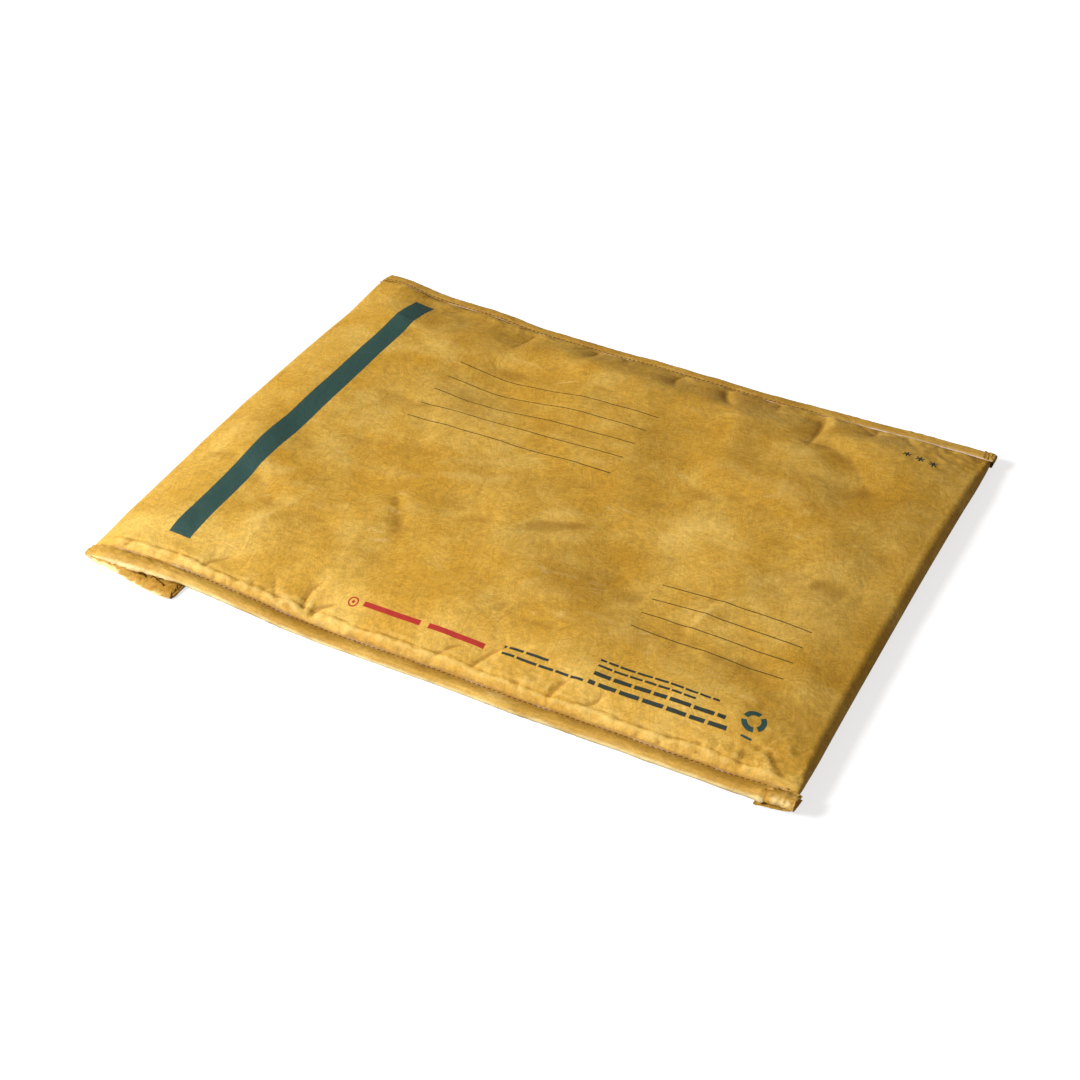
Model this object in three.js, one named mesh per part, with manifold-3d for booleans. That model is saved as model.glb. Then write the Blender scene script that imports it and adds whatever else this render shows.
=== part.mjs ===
import * as THREE from "three";
import { mergeVertices } from "three/addons/utils/BufferGeometryUtils.js";
import Module from "manifold-3d";

// Padded envelope lying on its back panel with the flap folded under.
// Millimetres, +Z up, +X from the flap crease to the rounded bottom fold.
// The origin is under the middle of the envelope, on the surface it lies on.

// Overall size
const length = 350;
const width = 266;
const flapLength = 46;

// Thicknesses of the layers
const sheet = 0.3;
const wadding = 4;
const seamWadding = 0.8;
const tape = 0.3;
const closureTape = 0.8;
const clearance = 0.25;

// Free height between the panels where the mouth lies over the flap
const mouthGap = 0.8;

// Folds: the free radius inside the padding at each end
const creaseFreeRadius = 0.5;
const foldFreeRadius = 1.25;
const creaseRun = 30;
const foldRun = 40;

// Side seams
const bindingWidth = 7;
const bindingRound = 1.6;
const seamSlope = 30;
const tailLength = 12;
const tailInset = 0.4;
const seamOverFlap = 11.8;
const seamMiddle = 6.2;
const seamMiddleX = -44;
const seamFold = 8.6;
const flapTipFree = 0.2;
const creaseLift = 2.8;

// Mouth, flap tip and closure
const mouthSetback = 18;
const mouthStep = 1.3;
const mouthStepRun = 4;
const edgeBindingWidth = 7;
const edgeRun = 12;
const stepBeforeTip = 10.5;
const stepRun = 20.5;
const closureWidth = 10;
const closureLength = 180;
const closureCorner = 2;

// Facets along the folds, short rises, slopes and long stretches
const arcSteps = 8;
const riseSteps = 3;
const slopeSteps = 5;
const longSteps = 5;
const roundSteps = 4;
const cornerSteps = 4;

// Reach over which the slope of a height curve is taken
const slopeReach = 0.5;

// Sizes that follow from the ones above
const cover = sheet + clearance;
const panel = cover + wadding;
const seamPanel = cover + seamWadding;
const seamStack = 2 * seamPanel + clearance;
const legRoom = clearance + tape;
const tail = 2 * tape;
const flapTipLift = flapTipFree + 2 * legRoom;
const creaseRadius = panel + creaseFreeRadius;
const foldRadius = panel + foldFreeRadius;
const closureStack = 2 * closureTape + 3 * clearance;
const overFlap = panel + closureStack;
const crown = overFlap + 2 * panel + mouthGap;
const half = length / 2;
const creaseX = -half + creaseRadius;
const foldX = half - foldRadius;
const mouthX = -half + mouthSetback;
const flapTipX = -half + flapLength;
const closureX = mouthX + edgeBindingWidth + clearance;
const stepX = Math.max(closureX + closureWidth + clearance, flapTipX - stepBeforeTip);
const flapEdgeRadius = seamPanel + legRoom + clearance;
const creaseEdgeX = -half + legRoom + flapEdgeRadius;
const creaseSeam = creaseLift + 2 * flapEdgeRadius;
const foldEdgeX = half - tail - clearance - seamStack / 2;
const sheetEdge = width / 2 - bindingRound;
const bindingEdge = width / 2 - bindingWidth;

const clamp = THREE.MathUtils.clamp;
const lerp = THREE.MathUtils.lerp;

/** Smooth step from 0 to 1, level at both ends. */
function ease(t) {
  return THREE.MathUtils.smoothstep(t, 0, 1);
}

/** Padded rise from 0 to 1: steep at the seam and level at the crown. */
function swell(t) {
  return Math.sin((Math.PI / 2) * clamp(t, 0, 1));
}

/** 1 over the crown of the envelope and 0 over the flat seams. */
function crownWeight(y) {
  return swell((bindingEdge - Math.abs(y)) / seamSlope);
}

/** Outer face of the front panel along the middle of the envelope. */
function frontHeight(x) {
  const creaseDrop = (crown - 2 * creaseRadius) * (1 - swell((x - creaseX) / creaseRun));
  const foldDrop = (crown - 2 * foldRadius) * (1 - swell((foldX - x) / foldRun));
  return crown - creaseDrop - foldDrop;
}

/**
 * Outer face of the back panel: flat on the ground, with a step up over the flap.
 * The step starts past the closure and over the thin bound tip of the flap.
 */
function backHeight(x) {
  const climb = ease((stepX + stepRun - x) / stepRun);
  const drop = mouthStep * (1 - ease((x - mouthX) / mouthStepRun));
  return overFlap * climb - drop;
}

/** Outer face of the front panel along the side seams. */
function seamHeight(x) {
  if (x < flapTipX) {
    return lerp(creaseSeam, seamOverFlap, swell((x - creaseEdgeX) / (flapTipX - creaseEdgeX)));
  }
  if (x < seamMiddleX) {
    return lerp(seamOverFlap, seamMiddle, ease((x - flapTipX) / (seamMiddleX - flapTipX)));
  }
  return lerp(seamMiddle, seamFold, ease((x - seamMiddleX) / (foldEdgeX - seamMiddleX)));
}

/** 1 where the mouth binding is caught in the side seams, and 0 past it. */
function mouthShare(x) {
  return 1 - ease((x - mouthX - edgeBindingWidth - clearance) / edgeRun);
}

/** 1 where the flap binding is caught in the side bindings, and 0 past it. */
function tipShare(distance) {
  return 1 - ease((distance - edgeBindingWidth - clearance) / edgeRun);
}

/** Thickness of the loose wadding at a distance from a bound edge. */
function loftFrom(distance) {
  return lerp(seamWadding, wadding, ease((distance - edgeBindingWidth / 2) / edgeRun));
}

/** One station across the folded strip: its middle, its seam and its padding. */
function station(mid, midNormal, edge, edgeNormal, loft) {
  return { mid, midNormal, edge, edgeNormal, loft };
}

/** Point of a half turn about a centre, from angle a, with the outward normal. */
function turnPoint(centreX, centreZ, radius, angle) {
  const normal = new THREE.Vector2(Math.cos(angle), Math.sin(angle));
  return { point: new THREE.Vector2(centreX, centreZ).addScaledVector(normal, radius), normal };
}

/** Outward normal of a height curve, up on the front panel and down on the back. */
function curveNormal(heightAt, x, side) {
  const rise = (heightAt(x + slopeReach) - heightAt(x - slopeReach)) / (2 * slopeReach);
  return new THREE.Vector2(-rise, 1).normalize().multiplyScalar(side);
}

/** Places along the panels where both faces have a row of facets. */
function panelPlaces() {
  const places = [];
  for (let k = 0; k <= riseSteps; k += 1) {
    places.push(lerp(creaseX, mouthX, k / riseSteps));
  }
  const bound = [mouthStepRun / 2, mouthStepRun, edgeBindingWidth];
  bound.forEach((distance) => places.push(mouthX + distance));
  const rise = mouthX + edgeBindingWidth;
  for (let k = 1; k <= riseSteps; k += 1) {
    places.push(lerp(rise, stepX, k / riseSteps));
  }
  for (let k = 1; k <= slopeSteps + 1; k += 1) {
    places.push(stepX + (stepRun * k) / (slopeSteps + 1));
  }
  const flatX = stepX + stepRun;
  const fallX = foldX - foldRun;
  for (let k = 1; k <= longSteps; k += 1) {
    places.push(lerp(flatX, fallX, k / longSteps));
  }
  for (let k = 1; k <= slopeSteps; k += 1) {
    places.push(lerp(fallX, foldX, k / slopeSteps));
  }
  return places;
}

const places = panelPlaces();

/** Rows of the flap, from its tip to the crease. */
function flapStations() {
  const distances = [0, edgeBindingWidth / 2, edgeBindingWidth, edgeBindingWidth + edgeRun / 3];
  distances.push(edgeBindingWidth / 2 + edgeRun);
  const run = flapTipX - creaseX;
  distances.push(lerp(distances[distances.length - 1], run, 0.5));
  const down = new THREE.Vector2(0, -1);
  return distances.map((distance) => {
    const x = flapTipX - distance;
    const lift = lerp(flapTipLift, creaseLift, ease(distance / run));
    const mid = new THREE.Vector2(x, legRoom * tipShare(distance));
    return station(mid, down, new THREE.Vector2(x, lift), down, loftFrom(distance));
  });
}

/** Rows of the crease, where the front panel turns under into the flap. */
function creaseStations() {
  const rows = [];
  for (let k = 0; k <= arcSteps; k += 1) {
    const angle = -Math.PI / 2 - (Math.PI * k) / arcSteps;
    const mid = turnPoint(creaseX, creaseRadius, creaseRadius, angle);
    const edge = turnPoint(creaseEdgeX, creaseLift + flapEdgeRadius, flapEdgeRadius, angle);
    rows.push(station(mid.point, mid.normal, edge.point, edge.normal, wadding));
  }
  return rows;
}

/** Rows of the front panel, from the crease to the bottom fold. */
function frontStations() {
  const up = new THREE.Vector2(0, 1);
  return places.slice(1, -1).map((x) => {
    const mid = new THREE.Vector2(x, frontHeight(x));
    const edge = new THREE.Vector2(x, seamHeight(x));
    return station(mid, curveNormal(frontHeight, x, 1), edge, up, wadding);
  });
}

/** Rows of the rounded bottom fold. */
function foldStations() {
  const rows = [];
  const seamRadius = seamStack / 2;
  for (let k = 0; k <= arcSteps; k += 1) {
    const angle = Math.PI / 2 - (Math.PI * k) / arcSteps;
    const mid = turnPoint(foldX, foldRadius, foldRadius, angle);
    const edge = turnPoint(foldEdgeX, seamFold - seamRadius, seamRadius, angle);
    rows.push(station(mid.point, mid.normal, edge.point, edge.normal, wadding));
  }
  return rows;
}

/** Rows of the back panel, from the bottom fold to the bound mouth edge. */
function backStations() {
  const down = new THREE.Vector2(0, -1);
  const rows = places.slice(1, -1).filter((x) => x > mouthX - clearance / 2);
  return rows.reverse().map((x) => {
    const mid = new THREE.Vector2(x, backHeight(x));
    const between = seamStack + mouthShare(x) * legRoom;
    const edge = new THREE.Vector2(x, seamHeight(x) - between);
    return station(mid, curveNormal(backHeight, x, -1), edge, down, loftFrom(x - mouthX));
  });
}

const flapRows = flapStations();
const creaseRows = creaseStations();
const frontRows = frontStations();
const strip = [...flapRows, ...creaseRows, ...frontRows, ...foldStations(), ...backStations()];

/** Point of a layer at a row and a place across the width. */
function layerPoint(row, y, midDepth, seamDepth) {
  const mid = row.mid.clone().addScaledVector(row.midNormal, -midDepth);
  const edge = row.edge.clone().addScaledVector(row.edgeNormal, -seamDepth);
  const point = edge.lerp(mid, crownWeight(y));
  return new THREE.Vector3(point.x, y, point.y);
}

/** Places across the width, dense on the slopes beside the seams. */
function widthPlaces(edgeY) {
  const side = [edgeY, bindingEdge];
  for (let k = 1; k <= slopeSteps; k += 1) {
    side.push(bindingEdge - (seamSlope * k) / slopeSteps);
  }
  const mirrored = side.map((y) => -y).reverse();
  return [...side, ...mirrored];
}

/** Closed body between two grids of points with the same rows and columns. */
function slab(outer, inner) {
  const rows = outer.length;
  const columns = outer[0].length;
  const faces = [outer, inner];
  const positions = faces.flatMap((grid) => grid.flatMap((row) => row.flatMap((p) => p.toArray())));
  const at = (face, i, j) => (face * rows + i) * columns + j;
  const index = [];
  const quad = (a, b, c, d) => index.push(a, b, c, a, c, d);
  for (let i = 0; i + 1 < rows; i += 1) {
    for (let j = 0; j + 1 < columns; j += 1) {
      quad(at(0, i, j), at(0, i + 1, j), at(0, i + 1, j + 1), at(0, i, j + 1));
      quad(at(1, i, j), at(1, i, j + 1), at(1, i + 1, j + 1), at(1, i + 1, j));
    }
    const last = columns - 1;
    quad(at(0, i, 0), at(1, i, 0), at(1, i + 1, 0), at(0, i + 1, 0));
    quad(at(0, i, last), at(0, i + 1, last), at(1, i + 1, last), at(1, i, last));
  }
  for (let j = 0; j + 1 < columns; j += 1) {
    const last = rows - 1;
    quad(at(0, 0, j), at(0, 0, j + 1), at(1, 0, j + 1), at(1, 0, j));
    quad(at(0, last, j), at(1, last, j), at(1, last, j + 1), at(0, last, j + 1));
  }
  const geometry = new THREE.BufferGeometry();
  geometry.setAttribute("position", new THREE.Float32BufferAttribute(positions, 3));
  geometry.setIndex(index);
  return outwards(geometry);
}

/** Turns an inside-out body round, so that its faces point out. */
function outwards(geometry) {
  const position = geometry.getAttribute("position");
  const index = geometry.getIndex().array;
  const corner = [new THREE.Vector3(), new THREE.Vector3(), new THREE.Vector3()];
  let volume = 0;
  for (let k = 0; k < index.length; k += 3) {
    corner.forEach((point, n) => point.fromBufferAttribute(position, index[k + n]));
    volume += corner[0].dot(corner[1].clone().cross(corner[2]));
  }
  if (volume < 0) {
    for (let k = 0; k < index.length; k += 3) {
      [index[k + 1], index[k + 2]] = [index[k + 2], index[k + 1]];
    }
  }
  return geometry;
}

/** The folded outer sheet: flap, front panel, bottom fold and back panel in one. */
function outerShell() {
  const across = widthPlaces(sheetEdge);
  const outer = strip.map((row) => across.map((y) => layerPoint(row, y, 0, 0)));
  const inner = strip.map((row) => across.map((y) => layerPoint(row, y, sheet, sheet)));
  return slab(outer, inner);
}

/** The folded wadding inside the outer sheet, thin where it is stitched. */
function waddingSheet() {
  const across = widthPlaces(sheetEdge);
  const outer = strip.map((row) => across.map((y) => layerPoint(row, y, cover, cover)));
  const inner = strip.map((row) =>
    across.map((y) => layerPoint(row, y, cover + row.loft, seamPanel)),
  );
  return slab(outer, inner);
}

/** Tape folded round the end of the padded strip, caught in the side seams. */
function edgeBinding(rows, past) {
  const across = widthPlaces(sheetEdge);
  const last = rows[rows.length - 1];
  const face = (gap) => {
    const shift = new THREE.Vector3(past * gap, 0, 0);
    const inside = (row, y) => layerPoint(row, y, cover + row.loft + gap, seamPanel + gap);
    return across.map((y) => {
      const outerLeg = rows.map((row) => layerPoint(row, y, -gap, -gap));
      const innerLeg = rows.map((row) => inside(row, y)).reverse();
      const turn = [layerPoint(last, y, -gap, -gap).add(shift), inside(last, y).add(shift)];
      return [...outerLeg.slice(0, -1), ...turn, ...innerLeg.slice(1)];
    });
  };
  return slab(face(legRoom), face(clearance));
}

/** Rows that the side bindings run along, with the depth of what they wrap. */
function bindingRows() {
  const rows = [];
  [...flapRows, ...creaseRows].forEach((row, k) => {
    const caught = k < flapRows.length ? tipShare(flapTipX - row.mid.x) : 0;
    rows.push({ row, above: caught * legRoom, below: seamPanel + caught * legRoom });
  });
  frontRows.forEach((row) => {
    const x = row.edge.x;
    const back = clamp((x - creaseX) / (mouthX - creaseX), 0, 1);
    const caught = x < mouthX ? 1 : mouthShare(x);
    const wrapped = seamStack + 2 * legRoom * caught;
    rows.push({ row, above: 0, below: lerp(seamPanel, wrapped, back) });
  });
  const end = strip[flapRows.length + creaseRows.length + frontRows.length];
  const endX = half - tail / 2;
  [foldX, endX].forEach((x) => {
    const edge = new THREE.Vector2(x, seamHeight(x));
    rows.push({ row: { ...end, edge }, above: 0, below: seamStack });
  });
  return rows;
}

/** Section of the folded tape at a row: leg, rounded edge, leg. */
function bindingSection(side, { row, above, below }, gap) {
  const top = above + gap;
  const bottom = -below - gap;
  const middle = (top + bottom) / 2;
  const rise = (top - bottom) / 2;
  const round = bindingRound - legRoom + gap;
  const place = (y, height) => {
    const point = row.edge.clone().addScaledVector(row.edgeNormal, height);
    return new THREE.Vector3(point.x, side * y, point.y);
  };
  const section = [place(bindingEdge, top)];
  for (let k = 0; k <= roundSteps; k += 1) {
    const angle = Math.PI / 2 - (Math.PI * k) / roundSteps;
    const out = sheetEdge + round * Math.cos(angle);
    section.push(place(out, middle + rise * Math.sin(angle)));
  }
  section.push(place(bindingEdge, bottom));
  return section;
}

const wasm = await Module();
wasm.setup();

/** Solid for a join, from a closed geometry. */
function toSolid(geometry) {
  const bare = geometry.clone();
  bare.deleteAttribute("normal");
  bare.deleteAttribute("uv");
  const merged = mergeVertices(bare, 1e-4);
  const vertProperties = new Float32Array(merged.getAttribute("position").array);
  const triVerts = new Uint32Array(merged.getIndex().array);
  return new wasm.Manifold(new wasm.Mesh({ numProp: 3, vertProperties, triVerts }));
}

/** Geometry of a joined solid. */
function toGeometry(solid) {
  const mesh = solid.getMesh();
  const geometry = new THREE.BufferGeometry();
  const positions = new THREE.Float32BufferAttribute(mesh.vertProperties, 3);
  geometry.setAttribute("position", positions);
  geometry.setIndex(new THREE.BufferAttribute(mesh.triVerts, 1));
  return geometry;
}

/** End of the tape, turned down over the corner and back under the seam. */
function bindingTail(side) {
  const top = seamFold + legRoom;
  const under = seamFold - seamStack - legRoom - clearance;
  const bottom = under - tail;
  const profile = new THREE.Shape();
  profile.moveTo(half - tail, top);
  profile.lineTo(half - tail, under);
  profile.lineTo(half - tailLength, under);
  profile.lineTo(half - tailLength, bottom);
  profile.lineTo(half - tail, bottom);
  profile.lineTo(half, bottom + tail);
  profile.lineTo(half, top - tape);
  profile.lineTo(half - tape, top);
  const depth = bindingWidth - 2 * tailInset;
  const geometry = new THREE.ExtrudeGeometry(profile, { depth, bevelEnabled: false });
  geometry.rotateX(Math.PI / 2);
  const outerY = side > 0 ? width / 2 - tailInset : -bindingEdge - tailInset;
  geometry.translate(0, outerY, 0);
  return geometry;
}

/** Side binding: folded tape along the seam, round the crease and down the flap. */
function sideBinding(side) {
  const rows = bindingRows();
  const outer = rows.map((entry) => bindingSection(side, entry, legRoom));
  const inner = rows.map((entry) => bindingSection(side, entry, clearance));
  const channel = toSolid(slab(outer, inner));
  return toGeometry(channel.add(toSolid(bindingTail(side))));
}

/** Strip of the closure, with rounded corners, at a height over the flap. */
function closureStrip(height) {
  const strap = new THREE.Shape();
  const x0 = closureX;
  const x1 = closureX + closureWidth;
  const y1 = closureLength / 2;
  const r = closureCorner;
  strap.moveTo(x0 + r, -y1);
  strap.lineTo(x1 - r, -y1);
  strap.absarc(x1 - r, -y1 + r, r, -Math.PI / 2, 0);
  strap.absarc(x1 - r, y1 - r, r, 0, Math.PI / 2);
  strap.absarc(x0 + r, y1 - r, r, Math.PI / 2, Math.PI);
  strap.absarc(x0 + r, -y1 + r, r, Math.PI, 1.5 * Math.PI);
  const options = { depth: closureTape, bevelEnabled: false, curveSegments: cornerSteps };
  const geometry = new THREE.ExtrudeGeometry(strap, options);
  geometry.translate(0, 0, height);
  return geometry;
}

/** Rows at one end of the strip that a binding of the given width covers. */
function boundRows(rows, endX) {
  return rows.filter((row) => Math.abs(row.mid.x - endX) < edgeBindingWidth + clearance);
}

const sheetFinish = { color: 0xd6a437, roughness: 0.55, metalness: 0 };
const tapeFinish = { color: 0xd49b2c, roughness: 0.5, metalness: 0 };
const waddingFinish = { color: 0xe9e6de, roughness: 0.95, metalness: 0 };
const closureFinish = { color: 0xc9a04a, roughness: 0.85, metalness: 0 };

const envelope = new THREE.Group();

/** Adds one named piece to the envelope. */
function addPiece(name, geometry, finish) {
  const mesh = new THREE.Mesh(geometry, new THREE.MeshStandardMaterial(finish));
  mesh.name = name;
  envelope.add(mesh);
}

const backEnd = strip.slice(-frontRows.length);

addPiece("outer_shell", outerShell(), sheetFinish);
addPiece("wadding", waddingSheet(), waddingFinish);
addPiece("binding_near", sideBinding(-1), tapeFinish);
addPiece("binding_far", sideBinding(1), tapeFinish);
addPiece("flap_binding", edgeBinding(boundRows(flapRows, flapTipX).reverse(), 1), tapeFinish);
addPiece("mouth_binding", edgeBinding(boundRows(backEnd, mouthX), -1), tapeFinish);
addPiece("hook_tape", closureStrip(panel + clearance), closureFinish);
addPiece("loop_tape", closureStrip(panel + closureTape + 2 * clearance), closureFinish);

export default envelope;
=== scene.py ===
"""Padded envelope lying on its back panel, with the flap folded under its crease.

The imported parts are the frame. Every visible piece is worked out in millimetres, as a grid
of two parameters, one along the folded strip and one across its width, and goes into its
mesh in metres. X runs from the flap crease to the bottom fold, Y across, Z up.
"""

import logging
import math
from dataclasses import dataclass, field
from enum import Enum

import bpy
import numpy as np
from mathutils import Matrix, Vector
from numpy.typing import NDArray


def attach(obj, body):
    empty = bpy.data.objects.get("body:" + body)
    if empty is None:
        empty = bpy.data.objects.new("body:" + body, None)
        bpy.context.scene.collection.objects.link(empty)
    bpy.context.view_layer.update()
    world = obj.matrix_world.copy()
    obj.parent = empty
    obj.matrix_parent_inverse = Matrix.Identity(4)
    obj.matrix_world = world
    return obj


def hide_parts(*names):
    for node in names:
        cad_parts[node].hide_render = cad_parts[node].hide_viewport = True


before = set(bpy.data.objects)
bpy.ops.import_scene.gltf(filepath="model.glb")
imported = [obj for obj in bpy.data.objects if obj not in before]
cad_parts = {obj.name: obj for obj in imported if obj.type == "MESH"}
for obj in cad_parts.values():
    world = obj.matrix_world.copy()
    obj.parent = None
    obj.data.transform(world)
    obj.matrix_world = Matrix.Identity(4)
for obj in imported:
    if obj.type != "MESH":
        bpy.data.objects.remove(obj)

Array = NDArray[np.float64]
Socket = bpy.types.NodeSocket

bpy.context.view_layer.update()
MM = 0.001
LOG = logging.getLogger("envelope")

# Share of the front relief that the crease and the bottom fold keep
TURN_RELIEF = 0.35
# Length over which the seam leaves the middle line before the bottom fold
FOLD_REACH_RUN = 20.0


# Curves of one number


def ease(t: Array | float) -> Array:
    """Smooth step from 0 to 1, level at both ends."""
    t = np.clip(t, 0.0, 1.0)
    return t * t * (3.0 - 2.0 * t)


def swell(t: Array | float) -> Array:
    """Padded rise from 0 to 1, steep at the start and level at the end."""
    return np.sin(0.5 * math.pi * np.clip(t, 0.0, 1.0))


def lerp(a: Array | float, b: Array | float, t: Array | float) -> Array:
    """Straight blend from a to b."""
    return a + (b - a) * t


def smooth_table(x: Array, knots: tuple[tuple[float, float], ...]) -> Array:
    """Values of a table at x, with a smooth step from each knot to the next.

    Args:
        x: places.
        knots: pairs of a place and its value, in order.

    Returns:
        The value at each place, held beyond both ends.
    """
    total = np.full(np.shape(x), knots[0][1])
    for (x0, low), (x1, high) in zip(knots, knots[1:]):
        total = total + (high - low) * ease((x - x0) / (x1 - x0))
    return total


def bell(d: Array, reach: Array | float) -> Array:
    """Bell that is 1 at distance 0 and falls off over the reach."""
    return np.exp(-((d / reach) ** 2))


@dataclass(frozen=True)
class Sizes:
    """Driving sizes of the envelope in millimetres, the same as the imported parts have."""

    length: float = 350.0
    width: float = 266.0
    flap: float = 46.0
    sheet: float = 0.3
    wadding: float = 4.0
    seam_wadding: float = 0.8
    tape: float = 0.3
    closure: float = 0.8
    clearance: float = 0.25
    mouth_gap: float = 0.8
    crease_free: float = 0.5
    fold_free: float = 1.25
    crease_run: float = 30.0
    fold_run: float = 40.0
    binding: float = 7.0
    binding_round: float = 1.6
    seam_slope: float = 30.0
    broad_slope: float = 95.0
    broad_share: float = 0.25
    seam_over_flap: float = 11.8
    seam_middle: float = 6.2
    seam_middle_x: float = -44.0
    seam_fold: float = 8.6
    flap_tip_free: float = 0.2
    crease_lift: float = 2.8
    mouth_setback: float = 18.0
    mouth_step: float = 1.3
    mouth_step_run: float = 4.0
    edge_binding: float = 7.0
    edge_run: float = 12.0
    step_before_tip: float = 10.5
    step_run: float = 20.5
    closure_width: float = 10.0

    @property
    def half(self) -> float:
        """Half the length."""
        return self.length / 2

    @property
    def cover(self) -> float:
        """Depth of the wadding under the outer face."""
        return self.sheet + self.clearance

    @property
    def panel(self) -> float:
        """Thickness of one padded panel."""
        return self.cover + self.wadding

    @property
    def seam_panel(self) -> float:
        """Thickness of one panel where it is stitched."""
        return self.cover + self.seam_wadding

    @property
    def seam_stack(self) -> float:
        """Thickness of both panels where they are stitched."""
        return 2 * self.seam_panel + self.clearance

    @property
    def leg_room(self) -> float:
        """Height of one leg of a folded tape over what it wraps."""
        return self.clearance + self.tape

    @property
    def over_flap(self) -> float:
        """Height of the back panel over the flap and the closure."""
        return self.panel + 2 * self.closure + 3 * self.clearance

    @property
    def crown(self) -> float:
        """Height of the front panel along the middle."""
        return self.over_flap + 2 * self.panel + self.mouth_gap

    @property
    def crease_radius(self) -> float:
        """Outer radius of the crease along the middle."""
        return self.panel + self.crease_free

    @property
    def fold_radius(self) -> float:
        """Outer radius of the bottom fold along the middle."""
        return self.panel + self.fold_free

    @property
    def crease_x(self) -> float:
        """Place where the crease meets the front panel."""
        return -self.half + self.crease_radius

    @property
    def fold_x(self) -> float:
        """Place where the bottom fold meets the front panel."""
        return self.half - self.fold_radius

    @property
    def mouth_x(self) -> float:
        """Place of the mouth edge of the back panel."""
        return -self.half + self.mouth_setback

    @property
    def flap_x(self) -> float:
        """Place of the tip of the flap."""
        return -self.half + self.flap

    @property
    def step_x(self) -> float:
        """Place where the back panel starts down from the flap to the ground."""
        past_closure = self.mouth_x + self.edge_binding + self.closure_width + 2 * self.clearance
        return max(past_closure, self.flap_x - self.step_before_tip)

    @property
    def edge_radius(self) -> float:
        """Outer radius of the crease along the side seam."""
        return self.seam_panel + self.leg_room + self.clearance

    @property
    def crease_edge_x(self) -> float:
        """Place of the crease's centre along the side seam."""
        return -self.half + self.leg_room + self.edge_radius

    @property
    def fold_edge_x(self) -> float:
        """Place of the bottom fold's centre along the side seam."""
        return self.half - 2 * self.tape - self.clearance - self.seam_stack / 2

    @property
    def sheet_edge(self) -> float:
        """Distance of the sheet's cut side from the middle line."""
        return self.width / 2 - self.binding_round

    @property
    def seam_line(self) -> float:
        """Distance of the inner side of the side binding from the middle line."""
        return self.width / 2 - self.binding


SIZES = Sizes()


class Side(Enum):
    """The two long sides of the envelope."""

    NEAR = -1
    FAR = 1


class Noise:
    """Smooth noise: random slopes at whole places, blended smoothly between them."""

    def __init__(self, seed: int) -> None:
        """Draws the slopes.

        Args:
            seed: number that the slopes are drawn from.
        """
        angles = np.random.default_rng(seed).uniform(0.0, 2 * math.pi, (128, 128))
        self.slopes = np.stack([np.cos(angles), np.sin(angles)], axis=-1)

    def at(self, x: Array, y: Array, cell: float, cell_y: float | None = None) -> Array:
        """Noise from about -1 to 1, one swell to a cell.

        Args:
            x, y: places in millimetres.
            cell: size of a cell along x, and along y where cell_y is left out.
            cell_y: size of a cell along y.

        Returns:
            The noise at each place.
        """
        px, py = np.broadcast_arrays(x / cell, y / (cell_y or cell))
        ix, iy = np.floor(px).astype(int), np.floor(py).astype(int)
        fx, fy = px - ix, py - iy
        tx, ty = (f * f * f * (f * (f * 6 - 15) + 10) for f in (fx, fy))

        def corner(dx: int, dy: int) -> Array:
            """Slope of one corner of the cell, met at the place."""
            slope = self.slopes[(ix + dx) % 128, (iy + dy) % 128]
            return slope[..., 0] * (fx - dx) + slope[..., 1] * (fy - dy)

        low = lerp(corner(0, 0), corner(1, 0), tx)
        high = lerp(corner(0, 1), corner(1, 1), tx)
        return 1.5 * lerp(low, high, ty)

    def ridges(self, x: Array, y: Array, cell: float, cell_y: float | None = None) -> Array:
        """Noise from 0 to 1 that comes to a sharp ridge wherever the smooth one is 0."""
        return (1.0 - np.clip(np.abs(self.at(x, y, cell, cell_y)), 0.0, 1.0)) ** 3


class FoldKind(Enum):
    """Section of a crease: a soft swell, or a sharp fold that comes to a point."""

    SOFT = "soft"
    SHARP = "sharp"


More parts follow.
